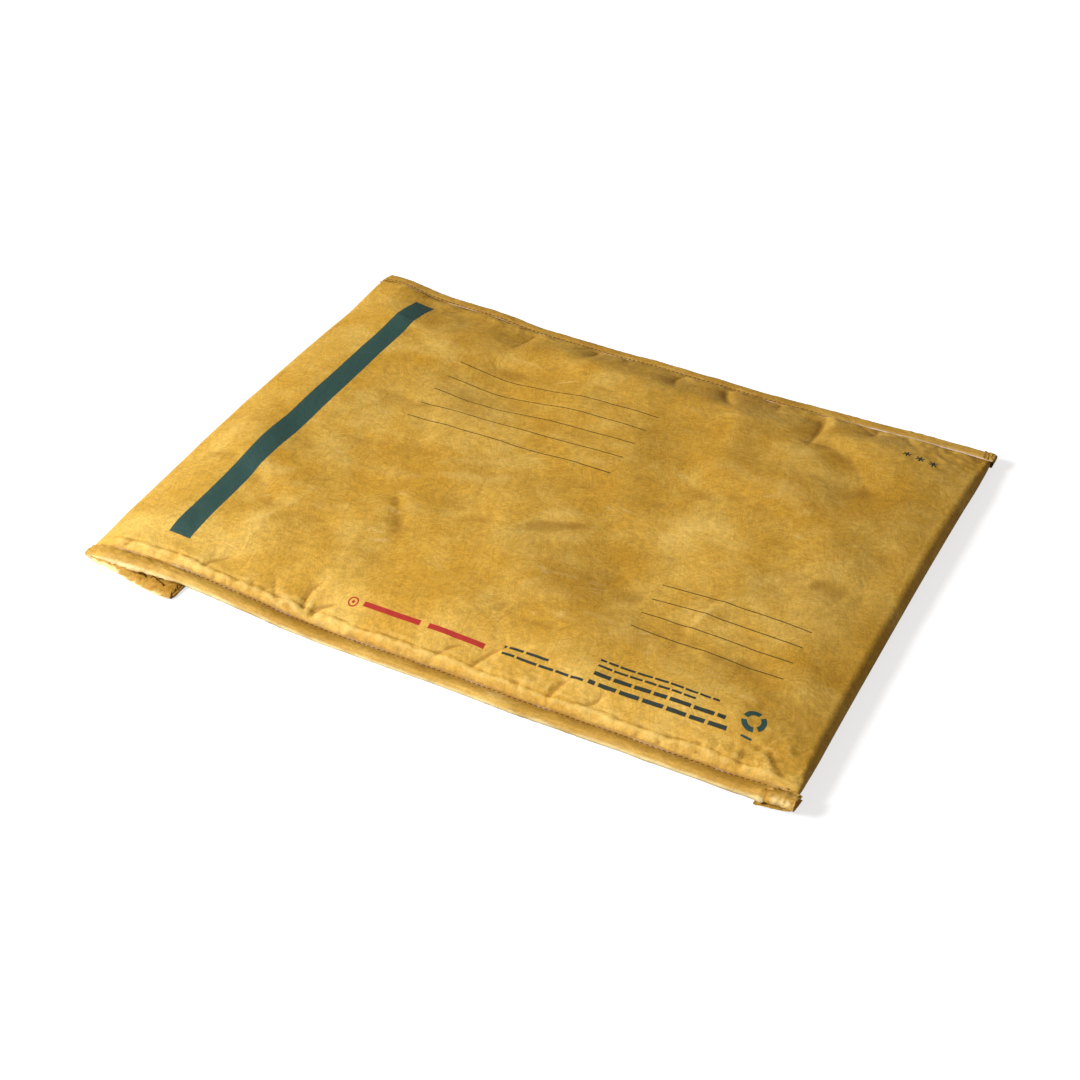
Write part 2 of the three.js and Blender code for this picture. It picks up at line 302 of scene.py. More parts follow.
@dataclass(frozen=True)
class Crease:
    """One crease of the sheet along a path, in millimetres on the flat sheet.

    The height at a place is the rise, times a section over the distance from the path, times
    a taper that is full soon after the path's start and runs out at its end.
    """

    path: tuple[tuple[float, float], ...]
    rise: float
    gentle: float
    steep: float
    kind: FoldKind = FoldKind.SHARP

    def height(self, x: Array, y: Array) -> Array:
        """Height of the crease at each place.

        Args:
            x, y: places on the flat sheet, arrays of one shape.

        Returns:
            Heights in millimetres, of that shape.
        """
        line = self._smooth()
        reach = 3.2 * max(self.gentle, self.steep)
        low, high = line.min(axis=0) - reach, line.max(axis=0) + reach
        near = (x > low[0]) & (x < high[0]) & (y > low[1]) & (y < high[1])
        out = np.zeros(x.shape)
        if near.any():
            place = np.stack([x[near], y[near]], axis=-1)[:, None, :]
            start, step = line[:-1], np.diff(line, axis=0)
            run = place - start
            share = np.clip((run * step).sum(-1) / (step**2).sum(-1), 0.0, 1.0)
            gap = run - share[..., None] * step
            apart = np.hypot(gap[..., 0], gap[..., 1])
            best = apart.argmin(axis=1)
            rows = np.arange(len(best))
            cross = step[best, 0] * run[rows, best, 1] - step[best, 1] * run[rows, best, 0]
            along = (best + share[rows, best]) / len(step)
            out[near] = self._section(apart[rows, best], cross > 0) * self._taper(along)
        return self.rise * out

    def _smooth(self) -> Array:
        """The path as 17 points on a smooth curve through the given ones."""
        given = np.array(self.path)
        at = np.linspace(0.0, 1.0, len(given))
        fine = np.linspace(0.0, 1.0, 17)
        degree = min(2, len(given) - 1)
        return np.stack([np.polyval(np.polyfit(at, given[:, k], degree), fine) for k in (0, 1)], -1)

    def _section(self, apart: Array, left: Array) -> Array:
        """Section across the path, gentle on its left and steep on its right."""
        reach = np.where(left, self.gentle, self.steep)
        if self.kind is FoldKind.SOFT:
            return bell(apart, reach)
        return np.exp(-1.3 * apart / reach)

    def _taper(self, along: Array) -> Array:
        """Full soon after the start, and 0 at the end."""
        return ease(along / 0.2) * 0.8 * (1 - ease((along - 0.35) / 0.65)) + 0.2 * swell(1 - along)


@dataclass(frozen=True)
class Swell:
    """Broad swell or hollow of a panel: a bell with two reaches."""

    x: float
    y: float
    reach_x: float
    reach_y: float
    rise: float

    def height(self, x: Array, y: Array) -> Array:
        """Height at each place in millimetres."""
        return self.rise * bell((x - self.x) / self.reach_x, 1.0) * bell((y - self.y) / self.reach_y, 1.0)


@dataclass
class Relief:
    """Swells, puckers and creases of the sheet, as a height over the plain padded form."""

    seed: int = 7
    undulation: float = 1.9
    crinkle: float = 0.3
    near_ridge: float = 2.25
    far_ridge: float = 2.3
    near_fall: float = 8.0
    far_fall: float = 13.0
    near_groove: float = 0.75
    far_groove: float = 0.25
    widest_bevel: float = 4.8
    narrowest_bevel: float = 3.6
    bevel_bend: float = 9.0
    calm_reach: float = 26.0
    noise_row: float = 40.0
    swells: tuple[Swell, ...] = (
        Swell(-68, 70, 34, 46, -4.2),
        Swell(2, 20, 25, 42, 1.9),
        Swell(72, -38, 22, 26, -3.2),
        Swell(122, -52, 42, 34, -1.7),
        Swell(-40, -78, 22, 20, -1.6),
        Swell(-138, -30, 22, 22, 1.6),
        Swell(-136, 38, 24, 26, -1.2),
        Swell(-128, -84, 14, 18, -1.3),
        Swell(20, -60, 34, 22, 1.2),
        Swell(104, 34, 26, 28, 1.1),
    )
    creases: tuple[Crease, ...] = (
        Crease(((88, 124), (91, 108), (93, 93), (90, 77)), -3.2, 4.0, 9.0),
        Crease(((35, 124), (41, 108), (52, 96)), -2.9, 4.0, 8.5),
        Crease(((10, 124), (10, 112), (16, 101)), -2.1, 3.6, 7.0),
        Crease(((66, 124), (66, 114), (71, 104)), -1.2, 3.0, 6.0),
        Crease(((-76, 124), (-76, 106), (-82, 88)), -1.8, 5.0, 9.0),
        Crease(((-39, 124), (-39, 113), (-45, 99)), -1.6, 4.0, 8.0),
        Crease(((116, 124), (117, 116), (114, 104)), -1.7, 3.5, 6.0),
        Crease(((131, 124), (135, 117), (143, 108)), -1.5, 3.5, 6.0),
        Crease(((92, 100), (111, 83), (130, 62), (150, 30)), -2.0, 9.0, 12.0, FoldKind.SOFT),
        Crease(((50, 104), (60, 70), (64, 26)), 1.7, 10.0, 7.0, FoldKind.SOFT),
        Crease(((59, -124), (60, -117), (68, -108)), -2.1, 3.2, 1.5),
        Crease(((73, -121), (79, -117), (80, -108)), -1.9, 3.4, 1.5),
        Crease(((20, -124), (26, -112), (38, -104)), -1.8, 4.0, 1.7),
        Crease(((2, -124), (8, -116), (16, -113)), -1.6, 3.2, 1.6),
        Crease(((-60, -124), (-57, -118), (-44, -112)), -2.4, 3.6, 1.6),
        Crease(((-63, -124), (-66, -114), (-60, -103)), -2.2, 3.2, 1.7),
        Crease(((-76, -124), (-82, -119), (-86, -109)), -1.8, 3.2, 1.7),
        Crease(((-118, -124), (-114, -116), (-103, -110)), -1.7, 3.4, 1.7),
        Crease(((141, -124), (144, -117), (139, -110)), 0.8, 2.0, 1.4),
        Crease(((150, -124), (146, -118), (147, -109)), -0.8, 2.6, 1.4),
        Crease(((158, -124), (156, -117), (148, -112)), 0.9, 2.0, 1.4),
        Crease(((165, -121), (158, -116), (156, -108)), -0.7, 2.4, 1.4),
        Crease(((167, -113), (161, -106), (160, -96)), 0.7, 2.2, 1.6),
        Crease(((-66, -40), (-52, -62), (-40, -84)), -1.2, 6.0, 4.0),
        Crease(((-150, 96), (-128, 88), (-104, 92)), 0.8, 4.0, 3.0),
        Crease(((-12, 4), (-34, -14), (-66, -20)), 0.6, 6.0, 5.0, FoldKind.SOFT),
        Crease(((112, -30), (98, -56), (104, -84)), 0.9, 5.0, 3.0),
        Crease(((-118, -96), (-104, -74), (-100, -44)), 0.9, 5.0, 3.0),
        Crease(((24, -96), (40, -84), (70, -88)), 0.7, 4.0, 2.5),
        Crease(((-96, 40), (-80, 12), (-84, -18)), -0.7, 6.0, 5.0, FoldKind.SOFT),
        Crease(((30, -20), (4, -34), (-18, -62)), -0.7, 6.0, 5.0, FoldKind.SOFT),
    )
    drawn: list[Crease] = field(default_factory=list)

    def __post_init__(self) -> None:
        """Draws the many small puckers along both seams and the two bottom corners."""
        self.broad = Noise(self.seed)
        self.fine = Noise(self.seed + 1)
        for side, count, longest, strength in ((Side.NEAR, 50, 15.0, 0.8), (Side.FAR, 26, 20.0, 0.65)):
            rng = np.random.default_rng(self.seed + 20 + side.value)
            places = np.linspace(-158, 166, count) + rng.normal(0.0, 2.4, count)
            for x in places:
                reach = longest * rng.uniform(0.3, 1.0) ** 1.5
                lean = rng.normal(0.0, 0.5)
                bend = rng.normal(0.0, 0.3)
                start = side.value * (SIZES.seam_line - 0.5)
                middle = start - side.value * reach * 0.5
                end = start - side.value * reach
                path = ((x, start), (x + reach * (0.5 * lean + bend), middle), (x + reach * lean, end))
                rise = strength * rng.uniform(0.35, 1.2) * (-1 if rng.random() < 0.7 else 1)
                width = rng.uniform(1.8, 4.2)
                self.drawn.append(Crease(path, rise, width, width * rng.uniform(0.3, 0.7)))

    def _panel(self, x: Array, y: Array) -> Array:
        """Broad swells and waves, with shallower hollows beside the crease."""
        high = sum(s.height(x, y) for s in self.swells)
        high = high + self.undulation * self.broad.at(x + 31, y - 17, 52.0)
        high = high + 0.5 * self.undulation * self.broad.at(x - 90, y + 40, 27.0)
        past_crease = ease((x + 128.0) / 26.0)
        return np.where(high < 0, high * lerp(0.25, 1.0, past_crease), high)

    def front(self, x: Array, y: Array) -> Array:
        """Height over the front panel, 0 under the side bindings.

        Beside a seam the padding rises over a rounded bevel to a ridge with a groove just
        behind it, and the ridge falls off inwards. Creases and crinkles lie over the whole.

        Args:
            x, y: places on the flat sheet.

        Returns:
            Heights in millimetres.
        """
        near = y < 0
        inside = SIZES.seam_line - np.abs(y)
        high = self._panel(x, y) * ease(inside / self.calm_reach)
        row = np.sign(y) * self.noise_row
        inside = inside + 0.22 * self.fine.at(x, row, 3.9) + 0.3 * self.fine.at(x + 9, row, 14.0)
        inside = np.clip(inside, 0.0, None)
        share = np.clip(0.5 + self.fine.at(x + 71, row, 23.0), 0.0, 1.0)
        bevel = lerp(self.widest_bevel, self.narrowest_bevel, share)
        soft = 1 - np.logaddexp(0.0, self.bevel_bend * (1 - inside / bevel)) / self.bevel_bend
        ridge = np.where(near, self.near_ridge, self.far_ridge)
        ridge = ridge * (1 + 0.12 * self.fine.at(x + 300, row + 5, 5.2) + 0.2 * self.broad.at(x, row, 21.0))
        fall = np.where(near, self.near_fall, self.far_fall)
        high = high + ridge * soft * np.exp(-np.clip(inside - bevel, 0.0, None) / fall)
        groove = np.where(near, self.near_groove, self.far_groove) * bell(inside - bevel - 1.0, 0.7)
        high = high - groove * (0.8 + 0.4 * self.fine.at(x + 57, row, 8.0))
        on_bevel = np.clip(soft * (1 - soft) * 4, 0.0, 1.0)
        dents = 0.36 * self.fine.at(x + 13, y * 1.3, 3.3) + 0.25 * self.fine.at(x, y + 77, 5.1)
        high = high + on_bevel * dents
        high = high + sum(c.height(x, y) for c in (*self.creases, *self.drawn)) * soft
        return high + soft * self._crinkles(x, y)

    def _crinkles(self, x: Array, y: Array) -> Array:
        """Sharp little folds: ridged noise where a broad mask lets it through.

        Args:
            x, y: places on the flat sheet.

        Returns:
            Heights in millimetres, strongest beside the seams and at the bottom corners.
        """
        inside = np.clip(SIZES.seam_line - np.abs(y), 0.0, None)
        bent_x = x + 5.0 * self.fine.at(x, y, 19.0)
        bent_y = y + 5.0 * self.fine.at(x + 77, y - 31, 21.0)
        mask = ease(0.5 + self.broad.at(x - 200, y + 60, 36.0))
        beside = np.exp(-inside / np.where(y < 0, 20.0, 12.0)) * np.where(y < 0, 1.0, 0.4)
        corner = np.exp(-np.hypot(x - 172, inside) / 17.0)
        folds = self.fine.ridges(bent_x, bent_y, 23.0, 17.0) * lerp(0.45, 1.0, mask)
        small = self.fine.ridges(bent_x + 50, bent_y - 90, 8.5, 6.5) - 0.3
        grain = self.fine.at(x - 40, y + 99, 4.2, 3.6)
        return (
            self.crinkle * (folds - 0.35)
            + small * (0.06 + 0.26 * beside + 1.5 * corner)
            + grain * (0.04 + 0.1 * beside + 0.6 * corner)
        )

    def back(self, x: Array, y: Array) -> Array:
        """Lift of the back panel off the ground, from 0 up to under a millimetre."""
        inside = np.clip(SIZES.seam_line - np.abs(y), 0.0, None)
        soft = 1 - np.exp(-inside / 3.0)
        folds = self.fine.ridges(x + 400, y - 300, 24.0, 18.0)
        return 0.55 * soft * folds * ease(0.5 + self.broad.at(x - 300, y - 80, 34.0))

    def tape(self, along: Array, across: Array) -> Array:
        """Outward wrinkles of a folded tape, largest on the flap."""
        wide = self.fine.ridges(along + 3.0 * np.sin(across), across, 5.5, 9.0)
        small = self.fine.ridges(along + 200.0, across * 0.8, 2.9, 4.0)
        on_flap = ease((-186.0 - along) / 14.0)
        size = lerp(0.24, 0.75, on_flap) * ease(0.55 + self.broad.at(along, across, 14.0))
        return size * (wide + lerp(0.2, 0.7, on_flap) * small) + 0.08


@dataclass(frozen=True)
class Corners:
    """Shifts in millimetres of the four corners of the envelope."""

    near_left: float
    far_left: float
    near_right: float
    far_right: float

    def at(self, near: Array, far: Array, left: Array, right: Array) -> Array:
        """Shift of a place, from how near it is to each side and each end."""
        first = (self.near_left * near + self.far_left * far) * left
        return first + (self.near_right * near + self.far_right * far) * right


@dataclass(frozen=True)
class Lie:
    """How the envelope lies: shifts in millimetres of its sides, crease, fold and flap."""

    corner_x: Corners = Corners(-0.7, 1.7, -1.2, 0.9)
    corner_y: Corners = Corners(-1.0, 0.8, 0.5, -0.3)
    drawn_in: float = 1.4
    sway_across: float = 0.4
    sway_fine: float = 0.16
    sway_up: float = 0.35
    ground_ease: float = 0.2
    rim_from: float = 84.0
    rim_run: float = 42.0
    outer_from: float = 96.0
    outer_run: float = 34.0
    crease_from: float = -122.0
    crease_run: float = 56.0
    fold_from: float = 112.0
    fold_run: float = 60.0

    near_side: tuple[tuple[float, float], ...] = (
        (-175, 0.0), (-129, -2.0), (-71, -3.0), (3, -2.7), (77, -3.0), (140, -2.2), (175, -0.2),
    )
    far_side: tuple[tuple[float, float], ...] = (
        (-175, 3.5), (-129, -4.0), (-94, -3.0), (-44, -1.0), (0, -0.9), (60, -2.1), (139, -1.4), (175, -1.8),
    )
    crease_up: float = 2.8
    crease_out: float = 1.2
    fold_in: float = 1.9
    flap_askew: float = 6.7
    flap_longer: float = 3.0
    flap_corner: float = 1.8
    flap_corner_run: float = 8.0
    beak: float = 2.2
    tip_pinch: float = 0.42


@dataclass(frozen=True)
class Counts:
    """Number of stations along each part of the strip."""

    flap: int = 24
    crease: int = 15
    front: int = 268
    fold: int = 15
    back: int = 42


@dataclass
class Rows:
    """Stations along the folded strip.

    Each has a point and an outward normal of the middle curve and of the seam curve, the
    seam's own middle depth, the thickness of the loose wadding, the place on the flat sheet,
    and how much of the front relief and of the back relief it takes.
    """

    mid: Array
    mid_normal: Array
    edge: Array
    edge_normal: Array
    above: Array
    below: Array
    loft: Array
    front: Array
    back: Array
    flat: Array = field(default_factory=lambda: np.zeros(0))

    def __len__(self) -> int:
        """Number of stations."""
        return len(self.mid)

    def take(self, wanted: NDArray) -> "Rows":
        """The stations that an index or a mask picks."""
        return Rows(**{name: value[wanted] for name, value in vars(self).items()})

    def at(self, first: float, last: float, count: int) -> "Rows":
        """Evenly spread stations between two fractional ones, by straight interpolation.

        Args:
            first, last: fractional numbers of the outermost stations.
            count: number of stations.

        Returns:
            The stations.
        """
        wanted = np.linspace(first, last, count)
        low = np.clip(np.floor(wanted).astype(int), 0, len(self) - 2)
        share = wanted - low

        def between(value: Array) -> Array:
            """One array at the wanted stations."""
            part = share.reshape((-1,) + (1,) * (value.ndim - 1))
            return lerp(value[low], value[low + 1], part)

        return Rows(**{name: between(value) for name, value in vars(self).items()})

    @staticmethod
    def joined(parts: list["Rows"]) -> "Rows":
        """Several runs of stations, one after another."""
        names = [name for name in vars(parts[0]) if name != "flat"]
        return Rows(**{name: np.concatenate([getattr(p, name) for p in parts]) for name in names})


def upright(count: int, z: float) -> Array:
    """The same normal for each of a number of stations, straight up or down."""
    return np.tile([0.0, z], (count, 1))


class FoldedStrip:
    """The padded strip: flap, crease, front panel, bottom fold and back panel in one."""

    def __init__(self, sizes: Sizes, relief: Relief, lie: Lie) -> None:
        """Works out the stations and their places on the flat sheet.

        Args:
            sizes: driving sizes.
            relief: swells and creases of the panels.
            lie: how the whole envelope lies.
        """
        self.sizes = sizes
        self.relief = relief
        self.lie = lie
        self.sway = Noise(relief.seed + 9)
        n = Counts()
        parts = [
            self._flap(n.flap),
            self._crease(n.crease),
            self._front(n.front),
            self._fold(n.fold),
            self._back(n.back),
        ]
        counts = np.cumsum([0] + [len(p) for p in parts])
        self.rows = Rows.joined(parts)
        steps = np.hypot(*np.diff(self.rows.mid, axis=0).T)
        flat = np.concatenate([[0.0], np.cumsum(steps)])
        first, last = counts[2], counts[3] - 1
        share = (self.rows.mid[:, 0] - sizes.crease_x) / (sizes.fold_x - sizes.crease_x)
        shift = lerp(sizes.crease_x - flat[first], sizes.fold_x - flat[last], np.clip(share, 0, 1))
        shift[last:] = sizes.fold_x - flat[last]
        flat = flat + shift
        flat[first : last + 1] = self.rows.mid[first : last + 1, 0]
        self.rows.flat = flat
        self.cut_length = float(steps.sum())
        self.seam_rows = self._seam_rows(counts[3])
        self.flap_rows = self.rows.take(np.arange(counts[1]))
        self.back_rows = self.rows.take(np.arange(counts[4], counts[5]))

    def _seam_rows(self, count: int) -> Rows:
        """Stations of the side bindings: those of the seam, and on past the bottom fold.

        Args:
            count: number of the strip's stations up to the bottom fold.

        Returns:
            The stations.
        """
        rows = self.rows.take(np.concatenate([np.arange(count), np.full(3, count - 1)]))
        x = np.linspace(self.sizes.fold_edge_x, self.sizes.half - self.sizes.tape, 3)
        rows.edge[-3:, 0] = x
        rows.edge[-3:, 1] = self.sizes.seam_fold
        rows.flat[-3:] = rows.flat[-4] + x - rows.edge[-4, 0]
        return rows

    def crown_weight(self, y: Array) -> Array:
        """1 over the crown and 0 over the seams: a steep rise with a long shallow one."""
        inside = self.sizes.seam_line - np.abs(y)
        steep = swell(inside / self.sizes.seam_slope)
        return lerp(steep, swell(inside / self.sizes.broad_slope), self.sizes.broad_share)

    def front_height(self, x: Array) -> Array:
        """Outer face of the front panel along the middle."""
        s = self.sizes
        crease_drop = (s.crown - 2 * s.crease_radius) * (1 - swell((x - s.crease_x) / s.crease_run))
        fold_drop = (s.crown - 2 * s.fold_radius) * (1 - swell((s.fold_x - x) / s.fold_run))
        return s.crown - crease_drop - fold_drop

    def back_height(self, x: Array) -> Array:
        """Outer face of the back panel: on the ground, with a step up over the flap."""
        s = self.sizes
        climb = ease((s.step_x + s.step_run - x) / s.step_run)
        return s.over_flap * climb - s.mouth_step * (1 - ease((x - s.mouth_x) / s.mouth_step_run))

    def seam_height(self, x: Array) -> Array:
        """Outer face of the front panel along the side seams."""
        s = self.sizes
        low = s.crease_lift + 2 * s.edge_radius
        middle = s.seam_middle_x
        rise = swell((x - s.crease_edge_x) / (s.flap_x - s.crease_edge_x))
        first = lerp(low, s.seam_over_flap, rise)
        second = lerp(s.seam_over_flap, s.seam_middle, ease((x - s.flap_x) / (middle - s.flap_x)))
        third = lerp(s.seam_middle, s.seam_fold, ease((x - middle) / (s.fold_edge_x - middle)))
        return np.where(x < s.flap_x, first, np.where(x < middle, second, third))

    def mouth_share(self, x: Array) -> Array:
        """1 where the mouth binding is caught in the side seams, and 0 past it."""
        s = self.sizes
        return 1 - ease((x - s.mouth_x - s.edge_binding - s.clearance) / s.edge_run)

    def loft(self, distance: Array) -> Array:
        """Thickness of the loose wadding at a distance from a bound edge."""
        s = self.sizes
        return lerp(s.seam_wadding, s.wadding, ease((distance - s.edge_binding / 2) / s.edge_run))

    @staticmethod
    def _normals(curve: Array, side: float) -> Array:
        """Outward normals of a curve of points: each step turned a quarter."""
        step = np.gradient(curve, axis=0)
        turned = np.stack([-step[:, 1], step[:, 0]], axis=-1) * side
        return turned / np.linalg.norm(turned, axis=-1, keepdims=True)

    def _fold_reach(self, x: Array) -> Array:
        """How far the seam reaches past the middle line as it nears the bottom fold."""
        s = self.sizes
        return (s.fold_edge_x - s.fold_x) * ease((x - s.fold_x + FOLD_REACH_RUN) / FOLD_REACH_RUN)

    def _flap(self, count: int) -> Rows:
        """Stations of the flap, from its tip to the crease."""
        s = self.sizes
        run = s.flap_x - s.crease_x
        d = run * np.linspace(0.0, 1.0, count + 1)[:-1]
        caught = 1 - ease((d - s.edge_binding - s.clearance) / s.edge_run)
        lift = lerp(s.flap_tip_free + 2 * s.leg_room, s.crease_lift, ease(d / run))
        reach = (s.crease_edge_x - s.crease_x) * ease((d - run + 12.0) / 12.0)
        zero = np.zeros(count)
        return Rows(
            mid=np.stack([s.flap_x - d, s.leg_room * caught], -1),
            mid_normal=upright(count, -1.0),
            edge=np.stack([s.flap_x - d + reach, lift], -1),
            edge_normal=upright(count, -1.0),
            above=s.leg_room * caught,
            below=s.seam_panel + s.leg_room * caught,
            loft=self.loft(d),
            front=zero,
            back=zero,
        )

    def _crease(self, count: int) -> Rows:
        """Stations of the crease: a half turn, drawn out to a blunt point."""
        s = self.sizes
        share = np.linspace(0.0, 1.0, count + 1)[:-1]
        angle = -0.5 * math.pi + math.pi * share
        nose = -(np.cos(angle) ** 1.35)
        mid = np.stack([s.crease_x + s.crease_radius * nose, s.crease_radius * (1 + np.sin(angle))], -1)
        height = s.crease_lift + s.edge_radius * (1 + np.sin(angle))
        beak = self.lie.beak * bell(angle + 0.15, 0.4)
        edge = np.stack([s.crease_edge_x - s.edge_radius * np.cos(angle) - beak, height], -1)
        return Rows(
            mid=mid,
            mid_normal=self._normals(mid, 1.0),
            edge=edge,
            edge_normal=np.stack([-np.cos(angle), np.sin(angle)], -1),
            above=np.zeros(count),
            below=np.full(count, s.seam_panel),
            loft=np.full(count, s.wadding),
            front=TURN_RELIEF * ease(share),
            back=np.zeros(count),
        )

    def _front(self, count: int) -> Rows:
        """Stations of the front panel, from the crease to the bottom fold."""
        s = self.sizes
        x = np.linspace(s.crease_x, s.fold_x, count + 1)[:-1]
        reach = (s.crease_edge_x - s.crease_x) * (1 - ease((x - s.crease_x) / 16.0))
        edge_x = x + (reach + self._fold_reach(x))
        mid = np.stack([x, self.front_height(x)], -1)
        back = np.clip((x - s.crease_x) / (s.mouth_x - s.crease_x), 0.0, 1.0)
        caught = np.where(x < s.mouth_x, 1.0, self.mouth_share(x))
        wrapped = s.seam_stack + 2 * s.leg_room * caught
        fade = ease((s.fold_x - x) / 14.0) * (1 - TURN_RELIEF) + TURN_RELIEF
        return Rows(
            mid=mid,
            mid_normal=self._normals(mid, 1.0),
            edge=np.stack([edge_x, self.seam_height(edge_x)], -1),
            edge_normal=upright(count, 1.0),
            above=np.zeros(count),
            below=lerp(s.seam_panel, wrapped, back),
            loft=np.full(count, s.wadding),
            front=np.minimum(fade, TURN_RELIEF + (1 - TURN_RELIEF) * ease((x - s.crease_x) / 12.0)),
            back=np.zeros(count),
        )

    def _fold(self, count: int) -> Rows:
        """Stations of the rounded bottom fold."""
        s = self.sizes
        share = np.linspace(0.0, 1.0, count + 1)[:-1]
        angle = 0.5 * math.pi - math.pi * share
        out = np.stack([np.cos(angle), np.sin(angle)], -1)
        radius = s.seam_stack / 2
        centre = np.array([s.fold_edge_x, s.seam_fold - radius])
        return Rows(
            mid=np.array([s.fold_x, s.fold_radius]) + s.fold_radius * out,
            mid_normal=out,
            edge=centre + radius * out,
            edge_normal=out,
            above=np.zeros(count),
            below=np.full(count, s.seam_stack),
            loft=np.full(count, s.wadding),
            front=TURN_RELIEF * (1 - ease(share / 0.7)),
            back=np.zeros(count),
        )

    def _back(self, count: int) -> Rows:
        """Stations of the back panel, from the bottom fold to the mouth edge."""
        s = self.sizes
        x = np.linspace(s.fold_x, s.mouth_x, count)
        edge_x = x + self._fold_reach(x)
        mid = np.stack([x, self.back_height(x)], -1)
        between = s.seam_stack + self.mouth_share(x) * s.leg_room
        return Rows(
            mid=mid,
            mid_normal=self._normals(mid, 1.0),
            edge=np.stack([edge_x, self.seam_height(edge_x) - between], -1),
            edge_normal=upright(count, -1.0),
            above=np.zeros(count),
            below=between,
            loft=self.loft(x - s.mouth_x),
            front=np.zeros(count),
            back=ease((s.fold_x - x) / 20.0) * ease((x - s.step_x - s.step_run) / 20.0),
        )

    def pinch(self, y: Array) -> Array:
        """Share of its thickness that the seam keeps: least at the stitches, most in the roll."""
        out = np.abs(y) - self.sizes.seam_line
        near = 1 - 0.38 * bell(out - 0.4, 1.5) + 0.16 * bell(out - 4.6, 2.0)
        return np.where(y < 0, near, 1 - 0.1 * bell(out, 1.5) - 0.12 * ease((out - 2.0) / 4.0))

    def warp(self, points: Array) -> Array:
        """The lie of the whole envelope.

        Places near a long side rise or sink by a smooth table over x, less where they are
        near the ground. Between the corners the crease stands higher and further out, the
        bottom fold is drawn in, and the long sides are drawn in most at mid length. The
        flap is folded a little askew. Smooth noise along the sides moves them a little. Last,
        heights near 0 are eased so that nothing dips into the ground.

        Args:
            points: places in millimetres, in an array whose last axis is x, y, z.

        Returns:
            The moved places.
        """
        x, y, z = (points[..., k] for k in range(3))
        s, lie = self.sizes, self.lie
        a, b = x / s.half, y / (s.width / 2)
        near, far = ease((1 - b) / 2), ease((1 + b) / 2)
        left, right = (1 - a) / 2, (1 + a) / 2
        bow = 1 - np.clip(np.abs(b), 0.0, 1.0) ** 2.4
        rim = ease((np.abs(y) - lie.rim_from) / lie.rim_run)
        outer = ease((np.abs(y) - lie.outer_from) / lie.outer_run)
        at_crease = ease((lie.crease_from - x) / lie.crease_run)
        at_fold = ease((x - lie.fold_from) / lie.fold_run)
        moved_x = lie.corner_x.at(near, far, left, right) * np.abs(b) - lie.crease_out * bow * at_crease
        moved_x = moved_x - lie.fold_in * (1 - 0.3 * b) * bow * at_fold
        moved_y = lie.corner_y.at(near, far, left, right)
        drawn = lie.drawn_in * (1 - a**2) * b * np.abs(b)
        side = np.sign(y) * self.relief.noise_row
        sway_y = lie.sway_across * self.sway.at(x, side, 31.0)
        sway_y = sway_y + lie.sway_fine * self.sway.at(x, side + 9.5, 9.0)
        sway_z = lie.sway_up * self.sway.at(x + 500, side, 33.0)
        sink = near * smooth_table(x, lie.near_side) + far * smooth_table(x, lie.far_side) + sway_z
        sink = np.where(sink < 0, sink * np.clip(z / 4.0, 0.0, 1.0), sink * ease((z + 2.0) / 6.0))
        tip = lie.tip_pinch * bell(x + s.half, 7.0) * near * ease((np.abs(y) - 112.0) / 14.0)
        lifted = lie.crease_up * bow * at_crease - tip * (z - s.crease_lift - s.edge_radius + 0.6)
        askew, longer = self._flap_shift(x, y, z, outer, near)
        moved_z = z + sink * rim + lifted
        moved_z = (moved_z + np.hypot(moved_z, lie.ground_ease)) / 2
        placed = [x + moved_x + longer, y + moved_y * rim - drawn + sway_y * outer - askew, moved_z]
        return np.stack(placed, axis=-1)

    def _flap_shift(self, x: Array, y: Array, z: Array, outer: Array, near: Array) -> tuple[Array, Array]:
        """How far the flap under the envelope is folded askew, and its near side longer.

        Args:
            x, y, z: places in millimetres.
            outer: 1 at the long sides and 0 between them.
            near: 1 at the near side and 0 at the far side.

        Returns:
            Shifts towards the near side and towards the bottom fold.
        """
        s, lie = self.sizes, self.lie
        under = ease((s.over_flap - 1.6 - z) / 1.5) * ease((s.flap_x + 6.0 - x) / 3.0)
        share = np.clip((x + s.half) / s.flap, 0.0, 1.2)
        corner = np.clip((x - s.flap_x + lie.flap_corner_run) / lie.flap_corner_run, 0.0, 1.2) ** 2
        askew = under * (lie.flap_askew * share - lie.flap_corner * corner * np.sign(-y) * outer)
        return askew, lie.flap_longer * under * share * near


